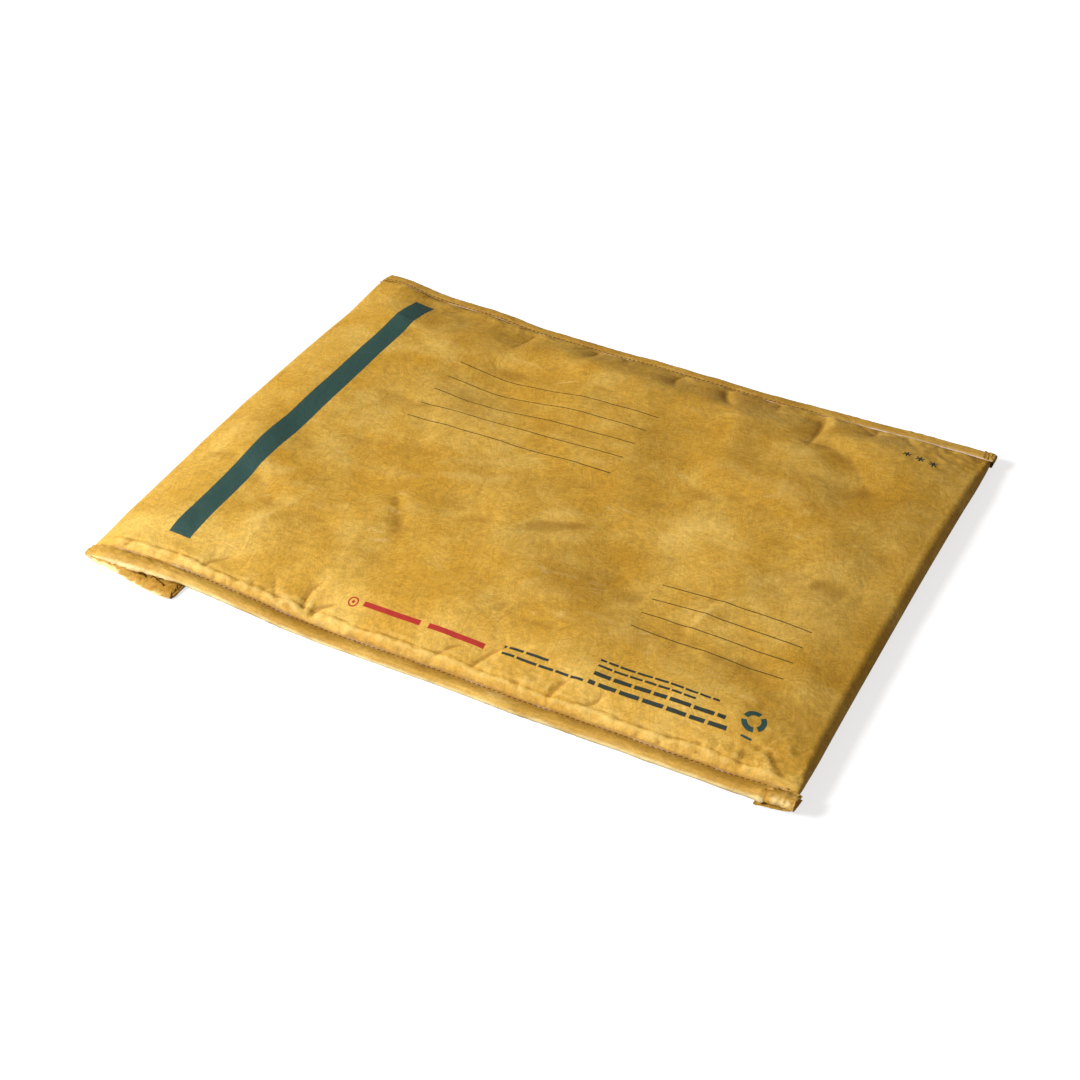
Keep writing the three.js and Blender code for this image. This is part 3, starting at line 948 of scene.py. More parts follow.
class PaddedSurface:
    """A part of the strip, from which layers are taken at any depth under its outer face.

    A place is a blend of the seam curve and the middle curve by the crown weight, less the
    depth along each one's normal, plus the relief along the blended normal.
    """

    def __init__(self, strip: FoldedStrip, rows: Rows, across: Array) -> None:
        """Works out the weights, normals and relief that all the layers share.

        Args:
            strip: the folded strip.
            rows: its stations.
            across: places across the width in millimetres.
        """
        self.strip, self.rows, self.across = strip, rows, across
        self.weight = strip.crown_weight(across)[None, :, None]
        blended = lerp(rows.edge_normal[:, None, :], rows.mid_normal[:, None, :], self.weight)
        self.normal = blended / np.linalg.norm(blended, axis=-1, keepdims=True)
        u, v = np.broadcast_arrays(rows.flat[:, None], across[None, :])
        self.lift = np.zeros(u.shape)
        for amount, height in ((rows.front, strip.relief.front), (-rows.back, strip.relief.back)):
            taken = np.abs(amount) > 0
            if taken.any():
                self.lift[taken] += amount[taken, None] * height(u[taken], v[taken])
        self.uv = np.stack([u, v], axis=-1) * MM

    def wear(self) -> Array:
        """Painted light and shade of each place, with needle holes: 1 on a sharp ridge or the crease, down
        to -1 in a sharp hollow.

        It is the lift less its own average over 5 by 5 places, painted highlight on ridges and
        painted shade in hollows, plus a bell over the distance from the foremost line of the
        crease and a pale band inside the seam, a painted highlight on the bevel's ridge, less a
        dark line along the stitches that is partly needle holes and partly painted shade.
        """
        kernel = np.ones(5) / 5
        padded = np.pad(self.lift, 2, mode="edge")
        level = np.apply_along_axis(np.convolve, 0, padded, kernel, "valid")
        level = np.apply_along_axis(np.convolve, 1, level, kernel, "valid")
        nose = self.rows.flat[np.argmin(self.rows.mid[:, 0])]
        # Lighter line along the foremost line of the crease, varied by noise.
        lightening = self.strip.relief.fine.at(self.across[None, :], self.rows.flat[:, None], 7.0)
        edge = bell(self.rows.flat - nose, 2.2)[:, None] * (0.6 + 0.5 * lightening)
        apart = np.abs(self.across)[None, :] - self.strip.sizes.seam_line
        holes = self.strip.relief.fine.at(self.rows.flat[:, None], self.across[None, :], 3.4)
        # Dark line along the stitches: needle holes, and painted shade under the tape's inner edge.
        amount = np.where(self.across < 0, 1.1, 0.6)[None, :] * (0.75 + 0.6 * holes)
        # Painted highlight: a light band on the ridge of the bevel just inside the seam.
        pale = np.where(self.across < 0, 0.16, 0.05)[None, :] * bell(apart + 2.6, 1.5) * (1 + holes)
        # Painted light and shade from the relief: ridges lighter, hollows darker.
        sharp = (self.lift - level) / 0.4
        return np.clip(sharp + edge + pale - amount * bell(apart, 0.9), -1.0, 1.0)

    def layer(self, mid_depth: Array | float, seam_depth: Array | float, share: float = 1.0) -> Array:
        """Grid of places at a depth.

        Args:
            mid_depth: depth under the outer face along the middle.
            seam_depth: depth under it along the seams.
            share: how much of the relief the layer takes.

        Returns:
            Places in millimetres, stations by places across by three.
        """
        rows = self.rows
        mid_depth = np.broadcast_to(mid_depth, len(rows))
        seam_depth = np.broadcast_to(seam_depth, len(rows))
        middle = (rows.above - rows.below) / 2
        pinched = middle[:, None] + (-seam_depth - middle)[:, None] * self.strip.pinch(self.across)
        edge = rows.edge[:, None, :] + rows.edge_normal[:, None, :] * pinched[..., None]
        mid = (rows.mid - rows.mid_normal * mid_depth[:, None])[:, None, :]
        place = lerp(edge, mid, self.weight) + self.normal * (share * self.lift)[..., None]
        y = np.broadcast_to(self.across, self.lift.shape)
        return self.strip.warp(np.stack([place[..., 0], y, place[..., 1]], axis=-1))


# Meshes


Marks = dict[str, Array]
SHARP_ANGLE = 65.0


def slab(name: str, outer: Array, inner: Array, uv: Array, marks: Marks | None = None) -> bpy.types.Object:
    """Closed body between two grids of the same size.

    The outer grid gives one face, the inner grid the other, and four strips of quads along
    the borders close the body. A body that comes out inside out is turned round.

    Args:
        name: name of the piece.
        outer, inner: grids of places in millimetres.
        uv: grid of places on the flat sheet in metres.
        marks: grids of values for the material to read, by name.

    Returns:
        The new object, linked to the scene.
    """
    rows, columns = outer.shape[:2]
    number = np.arange(rows * columns).reshape(rows, columns)
    count = rows * columns

    def quads(a: NDArray, b: NDArray, c: NDArray, d: NDArray) -> NDArray:
        """Quads from four arrays of corners."""
        return np.stack([a.ravel(), b.ravel(), c.ravel(), d.ravel()], axis=-1)

    face = quads(number[:-1, :-1], number[1:, :-1], number[1:, 1:], number[:-1, 1:])
    border = np.concatenate([number[0], number[1:, -1], number[-1, -2::-1], number[-2:0:-1, 0]])
    following = np.roll(border, -1)
    rim = quads(border, following, following + count, border + count)
    faces = np.concatenate([face, face[:, ::-1] + count, rim])
    places = np.concatenate([outer.reshape(-1, 3), inner.reshape(-1, 3)]) * MM
    both = np.concatenate([uv.reshape(-1, 2)] * 2)
    doubled = {title: np.concatenate([grid.ravel()] * 2) for title, grid in (marks or {}).items()}
    return mesh_object(name, places, faces, both, doubled)


def linked(name: str, data: bpy.types.ID) -> bpy.types.Object:
    """New object with the given data, linked to the scene."""
    obj = bpy.data.objects.new(name, data)
    bpy.context.scene.collection.objects.link(obj)
    return obj


def mesh_object(
    name: str, places: Array, faces: NDArray, uv: Array, marks: Marks | None = None
) -> bpy.types.Object:
    """Object with a mesh of quads, smooth but for its sharp borders.

    Args:
        name: name of the piece.
        places: vertices in metres.
        faces: corners of each quad.
        uv: place of each vertex on the flat material, in metres.
        marks: a value for each vertex, by name.

    Returns:
        The new object, linked to the scene.
    """
    a, b, c, d = (places[faces[:, k]] for k in range(4))
    volume = (a * np.cross(b, c)).sum() + (a * np.cross(c, d)).sum()
    if volume < 0:
        faces = faces[:, ::-1]
    mesh = bpy.data.meshes.new(name)
    mesh.vertices.add(len(places))
    mesh.vertices.foreach_set("co", places.ravel())
    mesh.loops.add(faces.size)
    mesh.loops.foreach_set("vertex_index", faces.ravel().astype(np.int32))
    mesh.polygons.add(len(faces))
    mesh.polygons.foreach_set("loop_start", np.arange(0, faces.size, 4, dtype=np.int32))
    mesh.update(calc_edges=True)
    layer = mesh.uv_layers.new(name="flat")
    layer.uv.foreach_set("vector", uv[faces.ravel()].astype(np.float32).ravel())
    for title, values in (marks or {}).items():
        mesh.attributes.new(title, "FLOAT", "POINT").data.foreach_set("value", values.astype(np.float32))
    mesh.validate()
    mesh.shade_smooth()
    mesh.set_sharp_from_angle(angle=math.radians(SHARP_ANGLE))
    return linked(name, mesh)


# Shader node groups and materials


def linear(code: str) -> tuple[float, float, float, float]:
    """Colour of a hex code in the renderer's linear values."""
    parts = [int(code[k : k + 2], 16) / 255 for k in (1, 3, 5)]
    r, g, b = (p / 12.92 if p <= 0.04045 else ((p + 0.055) / 1.055) ** 2.4 for p in parts)
    return (r, g, b, 1.0)


class Tree:
    """Short calls that add nodes to a node tree and link them."""

    def __init__(self, tree: bpy.types.NodeTree) -> None:
        """Keeps the tree.

        Args:
            tree: the node tree to add to.
        """
        self.tree = tree

    def put(
        self, kind: str, feeds: dict[str | int, object] | None = None, **settings: object
    ) -> bpy.types.Node:
        """Adds a node.

        Args:
            kind: type name of the node.
            feeds: value or socket for each input, by name or number.
            settings: properties of the node.

        Returns:
            The node.
        """
        node = self.tree.nodes.new(kind)
        for name, value in settings.items():
            setattr(node, name, value)
        for name, value in (feeds or {}).items():
            if isinstance(value, bpy.types.NodeSocket):
                self.tree.links.new(value, node.inputs[name])
            else:
                node.inputs[name].default_value = value
        return node

    def math(self, operation: str, a: object, b: object = 0.0) -> Socket:
        """Result of a math node on two values or sockets."""
        return self.put("ShaderNodeMath", {0: a, 1: b}, operation=operation).outputs[0]

    def plus(self, a: object, b: object) -> Socket:
        """Sum of two numbers."""
        return self.math("ADD", a, b)

    def less(self, a: object, b: object) -> Socket:
        """The first number less the second."""
        return self.math("SUBTRACT", a, b)

    def times(self, a: object, b: object) -> Socket:
        """Product of two numbers."""
        return self.math("MULTIPLY", a, b)

    def apart(self, a: object, b: object) -> Socket:
        """Distance between two numbers."""
        return self.math("ABSOLUTE", self.less(a, b))

    def length(self, x: Socket, y: Socket) -> Socket:
        """Length of the hypotenuse over two numbers."""
        return self.math("SQRT", self.plus(self.times(x, x), self.times(y, y)))

    def largest(self, first: Socket, *others: Socket) -> Socket:
        """The largest of several numbers."""
        for other in others:
            first = self.math("MAXIMUM", first, other)
        return first

    def moved(self, a: object, b: object) -> Socket:
        """Sum of two vectors."""
        return self.put("ShaderNodeVectorMath", {0: a, 1: b}, operation="ADD").outputs[0]

    def scaled(self, vector: Socket, factor: float) -> Socket:
        """A vector times a number."""
        return self.put("ShaderNodeVectorMath", {0: vector, 3: factor}, operation="SCALE").outputs[0]

    def span(
        self, value: object, low: object, high: object, to_low: float = 0.0, to_high: float = 1.0
    ) -> Socket:
        """Smooth map of a value from one range to another, held at both ends."""
        feeds = {0: value, 1: low, 2: high, 3: to_low, 4: to_high}
        return self.put("ShaderNodeMapRange", feeds, interpolation_type="SMOOTHSTEP").outputs[0]

    def blend(self, share: object, a: object, b: object, how: str = "MIX") -> Socket:
        """Blend of two colours."""
        node = self.put("ShaderNodeMix", {0: share, 6: a, 7: b}, data_type="RGBA", blend_type=how)
        return node.outputs[2]

    def noise(
        self, place: Socket, scale: float, detail: float = 3.0, twist: float = 0.0, rough: float = 0.5
    ) -> Socket:
        """Value of a noise texture at a place."""
        feeds = {"Vector": place, "Scale": scale, "Detail": detail, "Distortion": twist, "Roughness": rough}
        return self.put("ShaderNodeTexNoise", feeds).outputs[0]

    def turned(self, place: Socket, angle: float, scale: tuple[float, float, float]) -> Socket:
        """A place turned about Z by an angle in degrees and then stretched."""
        turn = self.put("ShaderNodeMapping", {0: place, 2: (0.0, 0.0, math.radians(angle))})
        return self.put("ShaderNodeMapping", {0: turn.outputs[0], 3: scale}).outputs[0]

    def group(self, group: bpy.types.NodeTree, feeds: dict[str, object]) -> bpy.types.Node:
        """Adds a node group with values or sockets for its inputs."""
        return self.put("ShaderNodeGroup", feeds, node_tree=group)


def new_group(
    name: str, takes: dict[str, str], gives: tuple[str, ...]
) -> tuple[Tree, bpy.types.Node, bpy.types.Node]:
    """Empty shader node group.

    Args:
        name: name of the group.
        takes: name of each input and its kind, Vector or Float.
        gives: names of the outputs, all numbers.

    Returns:
        The group's tree, its input node and its output node.
    """
    tree = bpy.data.node_groups.new(name, "ShaderNodeTree")
    for title, kind in takes.items():
        tree.interface.new_socket(title, in_out="INPUT", socket_type="NodeSocket" + kind)
    for title in gives:
        tree.interface.new_socket(title, in_out="OUTPUT", socket_type="NodeSocketFloat")
    build = Tree(tree)
    return build, build.put("NodeGroupInput"), build.put("NodeGroupOutput")


class MaskGroup(Tree):
    """Node group that gives one mask of the print from a place and some numbers."""

    def __init__(self, name: str, *numbers: str) -> None:
        """Adds the inputs and the output.

        Args:
            name: name of the group.
            numbers: names of its inputs beside the place.
        """
        takes = {"Place": "Vector", **dict.fromkeys(numbers, "Float")}
        group, source, self.sink = new_group(name, takes, ("Mask",))
        super().__init__(group.tree)
        self.given = source.outputs
        split = self.put("ShaderNodeSeparateXYZ", {0: self.given["Place"]}).outputs
        self.own = {"X": split[0], "Y": split[1]}

    def within(self, value: Socket, middle: Socket, half: Socket, soft: float = 0.12) -> Socket:
        """1 where a value is within half a width of a middle, with a narrow soft edge."""
        return self.span(self.less(self.apart(value, middle), half), soft, -soft)

    def along(self, axis: str, middle: Socket | None = None) -> Socket:
        """1 within the given half width of a middle along an axis."""
        middle = self.given[axis] if middle is None else middle
        return self.within(self.own[axis], middle, self.given["Half " + axis])

    def nearest(self, axis: str, first: str, low: float, high: object) -> Socket:
        """Number of the nearest of several things at an even pitch, from low to high."""
        steps = self.math("DIVIDE", self.less(self.own[axis], self.given[first]), self.given["Pitch"])
        number = self.math("ROUND", steps)
        return self.math("MINIMUM", self.math("MAXIMUM", number, low), high)

    def done(self, mask: Socket) -> bpy.types.NodeTree:
        """Ends the group with its mask."""
        self.tree.links.new(mask, self.sink.inputs[0])
        return self.tree


class MarkKind(Enum):
    """Kinds of mark in the print."""

    BAR = "bar"
    RULES = "rules"
    WORDS = "words"
    STARS = "stars"
    RING = "ring"


class EffectGroups:
    """The node groups of the sheet's fibres and of each kind of printed mark."""

    def __init__(self) -> None:
        """Builds all the groups."""
        self.fibres = self._fibres()
        self.marks = {
            MarkKind.BAR: self._bar(),
            MarkKind.RULES: self._rules(),
            MarkKind.WORDS: self._words(),
            MarkKind.STARS: self._stars(),
            MarkKind.RING: self._ring(),
        }

    @staticmethod
    def _fibres() -> bpy.types.NodeTree:
        """Nonwoven sheet: clouds, swirled fibres, light veins and a leathery grain.

        The place, in millimetres, is first moved by slow noise, so that the fibres swirl.
        Fibres are noise stretched along three directions, and veins are its thin ridges.
        """
        gives = ("Cloud", "Fibre", "Vein", "Height")
        t, source, sink = new_group("nonwoven_fibres", {"Place": "Vector"}, gives)
        place = source.outputs["Place"]
        slow = t.put("ShaderNodeTexNoise", {"Vector": place, "Scale": 0.035, "Detail": 2.0}).outputs[1]
        middle = (0.5, 0.5, 0.5)
        shift = t.put("ShaderNodeVectorMath", {0: slow, 1: middle}, operation="SUBTRACT").outputs[0]
        swirled = t.moved(place, t.scaled(shift, 16.0))
        large = t.noise(place, 0.022, 3.0, 0.8)
        small = t.noise(swirled, 0.085, 5.0, 0.5, 0.6)
        cloud = t.plus(t.times(large, 0.68), t.times(small, 0.32))
        layers = [
            t.noise(t.turned(swirled, angle, (0.1, 0.95, 1.0)), 1.0, 5.0, 0.25, 0.7)
            for angle in (12.0, -38.0, 71.0)
        ]
        strands = t.times(t.plus(t.plus(layers[0], layers[1]), layers[2]), 1 / 3)
        ridges = []
        for angle, scale in ((-22.0, 0.5), (18.0, 0.42)):
            line = t.noise(t.turned(place, angle, (0.02, 0.3, 1.0)), scale, 1.0, 0.35)
            ridges.append(t.span(t.apart(line, 0.5), 0.012, 0.0))
        gate = t.span(t.noise(place, 0.045, 2.0), 0.57, 0.7)
        vein = t.times(t.largest(*ridges), gate)
        leather = t.put(
            "ShaderNodeTexVoronoi",
            {"Vector": swirled, "Scale": 0.34, "Randomness": 1.0},
            feature="SMOOTH_F1",
        ).outputs[0]
        fine = t.noise(swirled, 0.7, 6.0, 1.6, 0.78)
        fibre = t.plus(t.times(strands, 0.7), t.times(fine, 0.3))
        height = t.plus(t.plus(t.times(leather, 0.35), t.times(fine, 0.3)), t.times(fibre, 0.5))
        for title, value in zip(gives, (cloud, fibre, vein, height)):
            t.tree.links.new(value, sink.inputs[title])
        return t.tree

    @staticmethod
    def _bar() -> bpy.types.NodeTree:
        """Printed bar: 1 inside a rectangle."""
        m = MaskGroup("printed_bar", "X", "Y", "Half X", "Half Y")
        return m.done(m.times(m.along("X"), m.along("Y")))

    @staticmethod
    def _rules() -> bpy.types.NodeTree:
        """Ruled lines: 1 near the nearest of a number of lines at an even pitch."""
        m = MaskGroup("printed_rules", "X", "Half X", "First Y", "Pitch", "Last", "Half Y")
        number = m.nearest("Y", "First Y", 0.0, m.given["Last"])
        line = m.plus(m.given["First Y"], m.times(number, m.given["Pitch"]))
        return m.done(m.times(m.along("X"), m.along("Y", line)))

    @staticmethod
    def _words() -> bpy.types.NodeTree:
        """Row of blank word-length bars: a bar, cut where uneven cells meet."""
        m = MaskGroup("printed_words", "X", "Y", "Half X", "Half Y", "Words", "Shift")
        along = m.plus(m.times(m.own["X"], m.given["Words"]), m.given["Shift"])
        cells = m.put(
            "ShaderNodeTexVoronoi",
            {"W": along, "Scale": 1.0, "Randomness": 0.75},
            voronoi_dimensions="1D",
            feature="DISTANCE_TO_EDGE",
        ).outputs[0]
        bar = m.times(m.along("X"), m.along("Y"))
        return m.done(m.times(bar, m.span(cells, 0.055, 0.085)))

    @staticmethod
    def _stars() -> bpy.types.NodeTree:
        """Row of three small stars of six arms.

        Each star is three lines through its middle, 60 degrees apart. The mask is 1 near any
        of the three, within the star's radius.
        """
        m = MaskGroup("printed_stars", "X", "Y", "Pitch", "Radius", "Half")
        number = m.nearest("X", "X", -1.0, 1.0)
        x = m.less(m.less(m.own["X"], m.given["X"]), m.times(number, m.given["Pitch"]))
        y = m.less(m.own["Y"], m.given["Y"])
        offs = []
        for angle in (30.0, 90.0, 150.0):
            sine, cosine = math.sin(math.radians(angle)), math.cos(math.radians(angle))
            offs.append(m.apart(m.times(y, cosine), m.times(x, sine)))
        near = m.math("MINIMUM", m.math("MINIMUM", offs[0], offs[1]), offs[2])
        arm = m.span(m.less(near, m.given["Half"]), 0.1, -0.1)
        round_end = m.span(m.less(m.length(x, y), m.given["Radius"]), 0.1, -0.1)
        return m.done(m.times(arm, round_end))

    @staticmethod
    def _ring() -> bpy.types.NodeTree:
        """Ring cut into equal arcs, or a whole one where Arcs is 0 and Gap is below -1."""
        m = MaskGroup("printed_ring", "X", "Y", "Radius", "Half", "Arcs", "Gap")
        x, y = m.less(m.own["X"], m.given["X"]), m.less(m.own["Y"], m.given["Y"])
        band = m.within(m.length(x, y), m.given["Radius"], m.given["Half"])
        wave = m.math("COSINE", m.times(m.math("ARCTAN2", y, x), m.given["Arcs"]))
        return m.done(m.times(band, m.span(m.less(wave, m.given["Gap"]), -0.04, 0.04)))


@dataclass(frozen=True)
class Mark:
    """One mark of the print: its kind, and the numbers of that kind's node group."""

    kind: MarkKind
    numbers: dict[str, float]


def ends(x0: float, x1: float) -> dict[str, float]:
    """Middle and half length of a mark between two places along x."""
    return {"X": (x0 + x1) / 2, "Half X": (x1 - x0) / 2}


def bar(x0: float, x1: float, y: float, half: float) -> Mark:
    """Bar between two places along x, half its width to each side of y."""
    return Mark(MarkKind.BAR, {**ends(x0, x1), "Y": y, "Half Y": half})


def words(x0: float, x1: float, y: float, half: float, word: float, shift: float) -> Mark:
    """Bar cut into blanks of uneven length, each about a word long."""
    return Mark(MarkKind.WORDS, {**bar(x0, x1, y, half).numbers, "Words": 1 / word, "Shift": shift})


def rules(x0: float, x1: float, first_y: float, pitch: float, count: int) -> Mark:
    """Thin ruled lines of one length at an even pitch."""
    numbers = {"Half Y": 0.27, "First Y": first_y, "Pitch": pitch, "Last": count - 1.0}
    return Mark(MarkKind.RULES, {**ends(x0, x1), **numbers})


def ring(x: float, y: float, radius: float, half: float, arcs: float = 0.0, gap: float = -2.0) -> Mark:
    """Ring, whole or cut into arcs."""
    numbers = {"X": x, "Y": y, "Radius": radius, "Half": half, "Arcs": arcs, "Gap": gap}
    return Mark(MarkKind.RING, numbers)


RULED_LINES = (rules(-93.4, 19.3, 18.0, 13.4, 5), rules(73.4, 146.0, -72.5, 10.9, 4))
DARK_PRINT = (
    words(29.7, 52.0, -107.3, 0.6, 9.0, 0.3),
    words(29.7, 69.3, -110.8, 0.6, 8.0, 0.1),
    words(71.5, 127.0, -98.0, 0.6, 7.0, 0.2),
    words(71.5, 118.0, -101.2, 0.6, 6.5, 0.7),
    words(71.5, 133.0, -105.6, 1.0, 9.5, 0.45),
    words(71.5, 135.5, -110.3, 1.0, 11.0, 0.2),
    Mark(MarkKind.STARS, {"X": 145.4, "Y": 102.0, "Pitch": 6.75, "Radius": 2.3, "Half": 0.42}),
)
RED_PRINT = (
    bar(-39.5, -10.5, -110.6, 1.25),
    bar(-6.5, 21.5, -110.6, 1.25),
    ring(-44.7, -111.2, 2.2, 0.35),
    ring(-44.7, -111.2, 0.0, 0.8),
)
TEAL_PRINT = (
    bar(-144.0, -132.7, 0.0, 111.0),
    ring(144.5, -102.0, 4.3, 1.25, 3.0, -0.8),
    bar(142.0, 147.0, -110.6, 0.5),
)


@dataclass(frozen=True)
class SheetFinish:
    """Dyed nonwoven sheet, with or without the print."""

    name: str = "ochre_sheet"
    light: str = "#d5ac52"
    body: str = "#c99c3f"
    dark: str = "#be8d2c"
    vein: str = "#e6cb86"
    roughness: float = 0.6
    bump: float = 0.85
    # Painted light and shade: a highlight tint for ridges, the seam bevel and tape rolls, also lightening
    # the crease line; a shade tint for hollows, folds and the stitch line, which needle holes darken too;
    # and the most of the highlight tint that shows.
    highlight_tint: str = "#e3bd68"
    shade_and_hole_tint: str = "#8f641c"
    highlight_share: float = 0.5
    raw: str = "#efdcc4"
    printed: bool = True


TAPE_FINISH = SheetFinish(
    name="ochre_tape",
    light="#cda24a",
    body="#c1943d",
    dark="#b0822c",
    # Bright painted highlight on the tape's roll, orange painted shade in its folds and by the stitches.
    highlight_tint="#fbe3a0",
    shade_and_hole_tint="#a4620f",
    highlight_share=0.9,
    printed=False,
)


@dataclass(frozen=True)
class Inks:
    """Colours of the print."""

    teal: str = "#214844"
    line: str = "#3f3216"
    red: str = "#a3201c"
    dark: str = "#1c2d2a"


@dataclass(frozen=True)
class PlainFinish:
    """Cloth or thread of one colour family with a fibrous grain."""

    name: str
    light: str
    dark: str
    roughness: float
    grain: float
    bump: float


class Finishes:
    """Builds the materials from their finishes."""

    def __init__(self) -> None:
        """Builds the effects that the materials share."""
        self.effects = EffectGroups()

    @staticmethod
    def _start(name: str, roughness: float) -> tuple[Tree, bpy.types.Node, bpy.types.Material]:
        """New material with a Principled BSDF.

        Args:
            name: name of the material.
            roughness: its plain roughness.

        Returns:
            The tree, the shader and the material.
        """
        material = bpy.data.materials.new(name)
        material.use_nodes = True
        t = Tree(material.node_tree)
        shader = material.node_tree.nodes["Principled BSDF"]
        shader.inputs["Roughness"].default_value = roughness
        return t, shader, material

    @staticmethod
    def _close(
        t: Tree, shader: bpy.types.Node, colour: Socket, rough: Socket, bump: dict[str, object]
    ) -> None:
        """Links a colour, a roughness and a bump to the shader."""
        t.tree.links.new(colour, shader.inputs["Base Color"])
        t.tree.links.new(rough, shader.inputs["Roughness"])
        t.tree.links.new(t.put("ShaderNodeBump", bump).outputs[0], shader.inputs["Normal"])

    def _print(self, t: Tree, place: Socket, inks: Inks) -> list[tuple[Socket, str]]:
        """Masks of the print with the colour of each, on the flat front panel.

        Args:
            t: tree of the sheet's material.
            place: place on the flat sheet in millimetres.
            inks: colours.

        Returns:
            Pairs of a mask and a hex colour, in the order they are printed.
        """
        printed = (
            (RULED_LINES, inks.line),
            (DARK_PRINT, inks.dark),
            (RED_PRINT, inks.red),
            (TEAL_PRINT, inks.teal),
        )
        masks = []
        for marks, ink in printed:
            groups = [t.group(self.effects.marks[m.kind], {"Place": place, **m.numbers}) for m in marks]
            masks.append((t.largest(*(group.outputs[0] for group in groups)), ink))
        return masks

    def sheet(self, finish: SheetFinish, inks: Inks) -> bpy.types.Material:
        """Material of the nonwoven sheet.

        Args:
            finish: colours and strengths.
            inks: colours of the print.

        Returns:
            The material.
        """
        t, shader, material = self._start(finish.name, finish.roughness)
        flat = t.put("ShaderNodeUVMap", uv_map="flat").outputs[0]
        place = t.scaled(flat, 1 / MM)
        web = t.group(self.effects.fibres, {"Place": place}).outputs
        colour = t.blend(t.span(web["Cloud"], 0.36, 0.6), linear(finish.dark), linear(finish.body))
        colour = t.blend(t.span(web["Cloud"], 0.5, 0.72), colour, linear(finish.light))
        shade = t.span(web["Fibre"], 0.42, 0.58, 0.8, 1.2)
        grey = t.put("ShaderNodeCombineColor", {0: shade, 1: shade, 2: shade}).outputs[0]
        colour = t.blend(1.0, colour, grey, "MULTIPLY")
        colour = t.blend(t.times(web["Vein"], 0.35), colour, linear(finish.vein))
        # Painted light and shade from the mesh attribute: the highlight tint where it is high, the shade
        # tint, with needle holes, where it is low.
        wear = t.put("ShaderNodeAttribute", attribute_name="wear").outputs["Fac"]
        raw = t.put("ShaderNodeAttribute", attribute_name="raw").outputs["Fac"]
        lightening = t.times(t.span(wear, 0.1, 1.0, 0.0, finish.highlight_share), t.span(web["Fibre"], 0.35, 0.6, 0.6, 1.0))
        colour = t.blend(lightening, colour, linear(finish.highlight_tint))
        colour = t.blend(t.span(wear, -0.1, -0.9, 0.0, 0.62), colour, linear(finish.shade_and_hole_tint))
        colour = t.blend(t.times(raw, 0.9), colour, linear(finish.raw))
        rough = t.span(web["Fibre"], 0.35, 0.65, finish.roughness - 0.08, finish.roughness + 0.1)
        if finish.printed:
            for mask, ink in self._print(t, place, inks):
                cover = t.times(mask, t.span(web["Fibre"], 0.2, 0.45, 0.86, 0.97))
                colour = t.blend(cover, colour, linear(ink))
        bump = {"Height": web["Height"], "Strength": finish.bump, "Distance": 0.5 * MM}
        self._close(t, shader, colour, rough, bump)
        shader.inputs["Specular IOR Level"].default_value = 0.2
        return material

    def plain(self, finish: PlainFinish) -> bpy.types.Material:
        """Material of plain fibres in the piece's own place.

        Args:
            finish: colours and strengths.

        Returns:
            The material.
        """
        t, shader, material = self._start(finish.name, finish.roughness)
        own = t.put("ShaderNodeTexCoord").outputs["Object"]
        place = t.scaled(own, 1 / MM)
        hairs = t.noise(t.turned(place, 33.0, (0.3, 1.6, 1.2)), finish.grain, 5.0, 1.2, 0.65)
        tufts = t.noise(place, finish.grain * 0.4, 3.0, 0.5)
        both = t.times(t.plus(hairs, tufts), 0.5)
        colour = t.blend(t.span(both, 0.38, 0.62), linear(finish.dark), linear(finish.light))
        rough = t.span(both, 0.3, 0.7, finish.roughness - 0.06, min(1.0, finish.roughness + 0.06))
        bump = {"Height": both, "Strength": finish.bump, "Distance": 0.4 * MM}
        self._close(t, shader, colour, rough, bump)
        return material


# Pieces


def dress(obj: bpy.types.Object, material: bpy.types.Material, slot: str, *nodes: str) -> bpy.types.Object:
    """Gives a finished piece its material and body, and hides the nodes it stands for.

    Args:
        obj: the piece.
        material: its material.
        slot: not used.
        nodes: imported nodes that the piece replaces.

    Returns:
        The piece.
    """
    obj.data.materials.clear()
    obj.data.materials.append(material)
    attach(obj, "root")
    if nodes:
        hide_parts(*nodes)
    LOG.info("%s: %d faces", obj.name, len(obj.data.polygons))
    return obj


def width_places(edge: float, fine: int, coarse: int) -> Array:
    """Places across the width, close together beside the seams.

    Args:
        edge: distance of the outermost places from the middle line.
        fine: number of places from the edge to the end of the steep slope, on each side.
        coarse: number of places between the slopes.

    Returns:
        Places in millimetres from the far side to the near side.
    """
    turn = SIZES.seam_line - SIZES.seam_slope - 6.0
    side = edge + (turn - edge) * np.linspace(0.0, 1.0, fine, endpoint=False) ** 1.25
    return np.concatenate([side, np.linspace(turn, -turn, coarse, endpoint=False), -side[::-1]])


@dataclass
class PaddedBody:
    """The folded outer sheet and the wadding inside it."""

    strip: FoldedStrip
    fine: int = 44
    coarse: int = 48

    def build_sheet(self) -> bpy.types.Object:
        """The outer sheet: its face, and its back one sheet's thickness in."""
        s = SIZES
        across = width_places(s.sheet_edge, self.fine, self.coarse)
        surface = PaddedSurface(self.strip, self.strip.rows, across)
        outer, inner = surface.layer(0, 0), surface.layer(s.sheet, s.sheet)
        return slab("outer_sheet", outer, inner, surface.uv, {"wear": surface.wear()})

    def build_wadding(self) -> bpy.types.Object:
        """The wadding: full between the seams, thin where it is stitched or bound."""
        s = SIZES
        rows = self.strip.rows
        across = width_places(s.sheet_edge, self.fine, self.coarse)
        surface = PaddedSurface(self.strip, rows, across)
        outer = surface.layer(s.cover, s.cover)
        inner = surface.layer(s.cover + rows.loft, s.seam_panel, 0.6)
        return slab("wadding_core", outer, inner, surface.uv)


@dataclass(frozen=True)
class TapeEnd:
    """The end of a side tape that is turned over at the bottom corner, in millimetres."""

    length: float
    slant: float
    flare: float


TAPE_ENDS = {Side.NEAR: TapeEnd(15.0, 8.0, 0.3), Side.FAR: TapeEnd(6.0, 1.0, 0.1)}


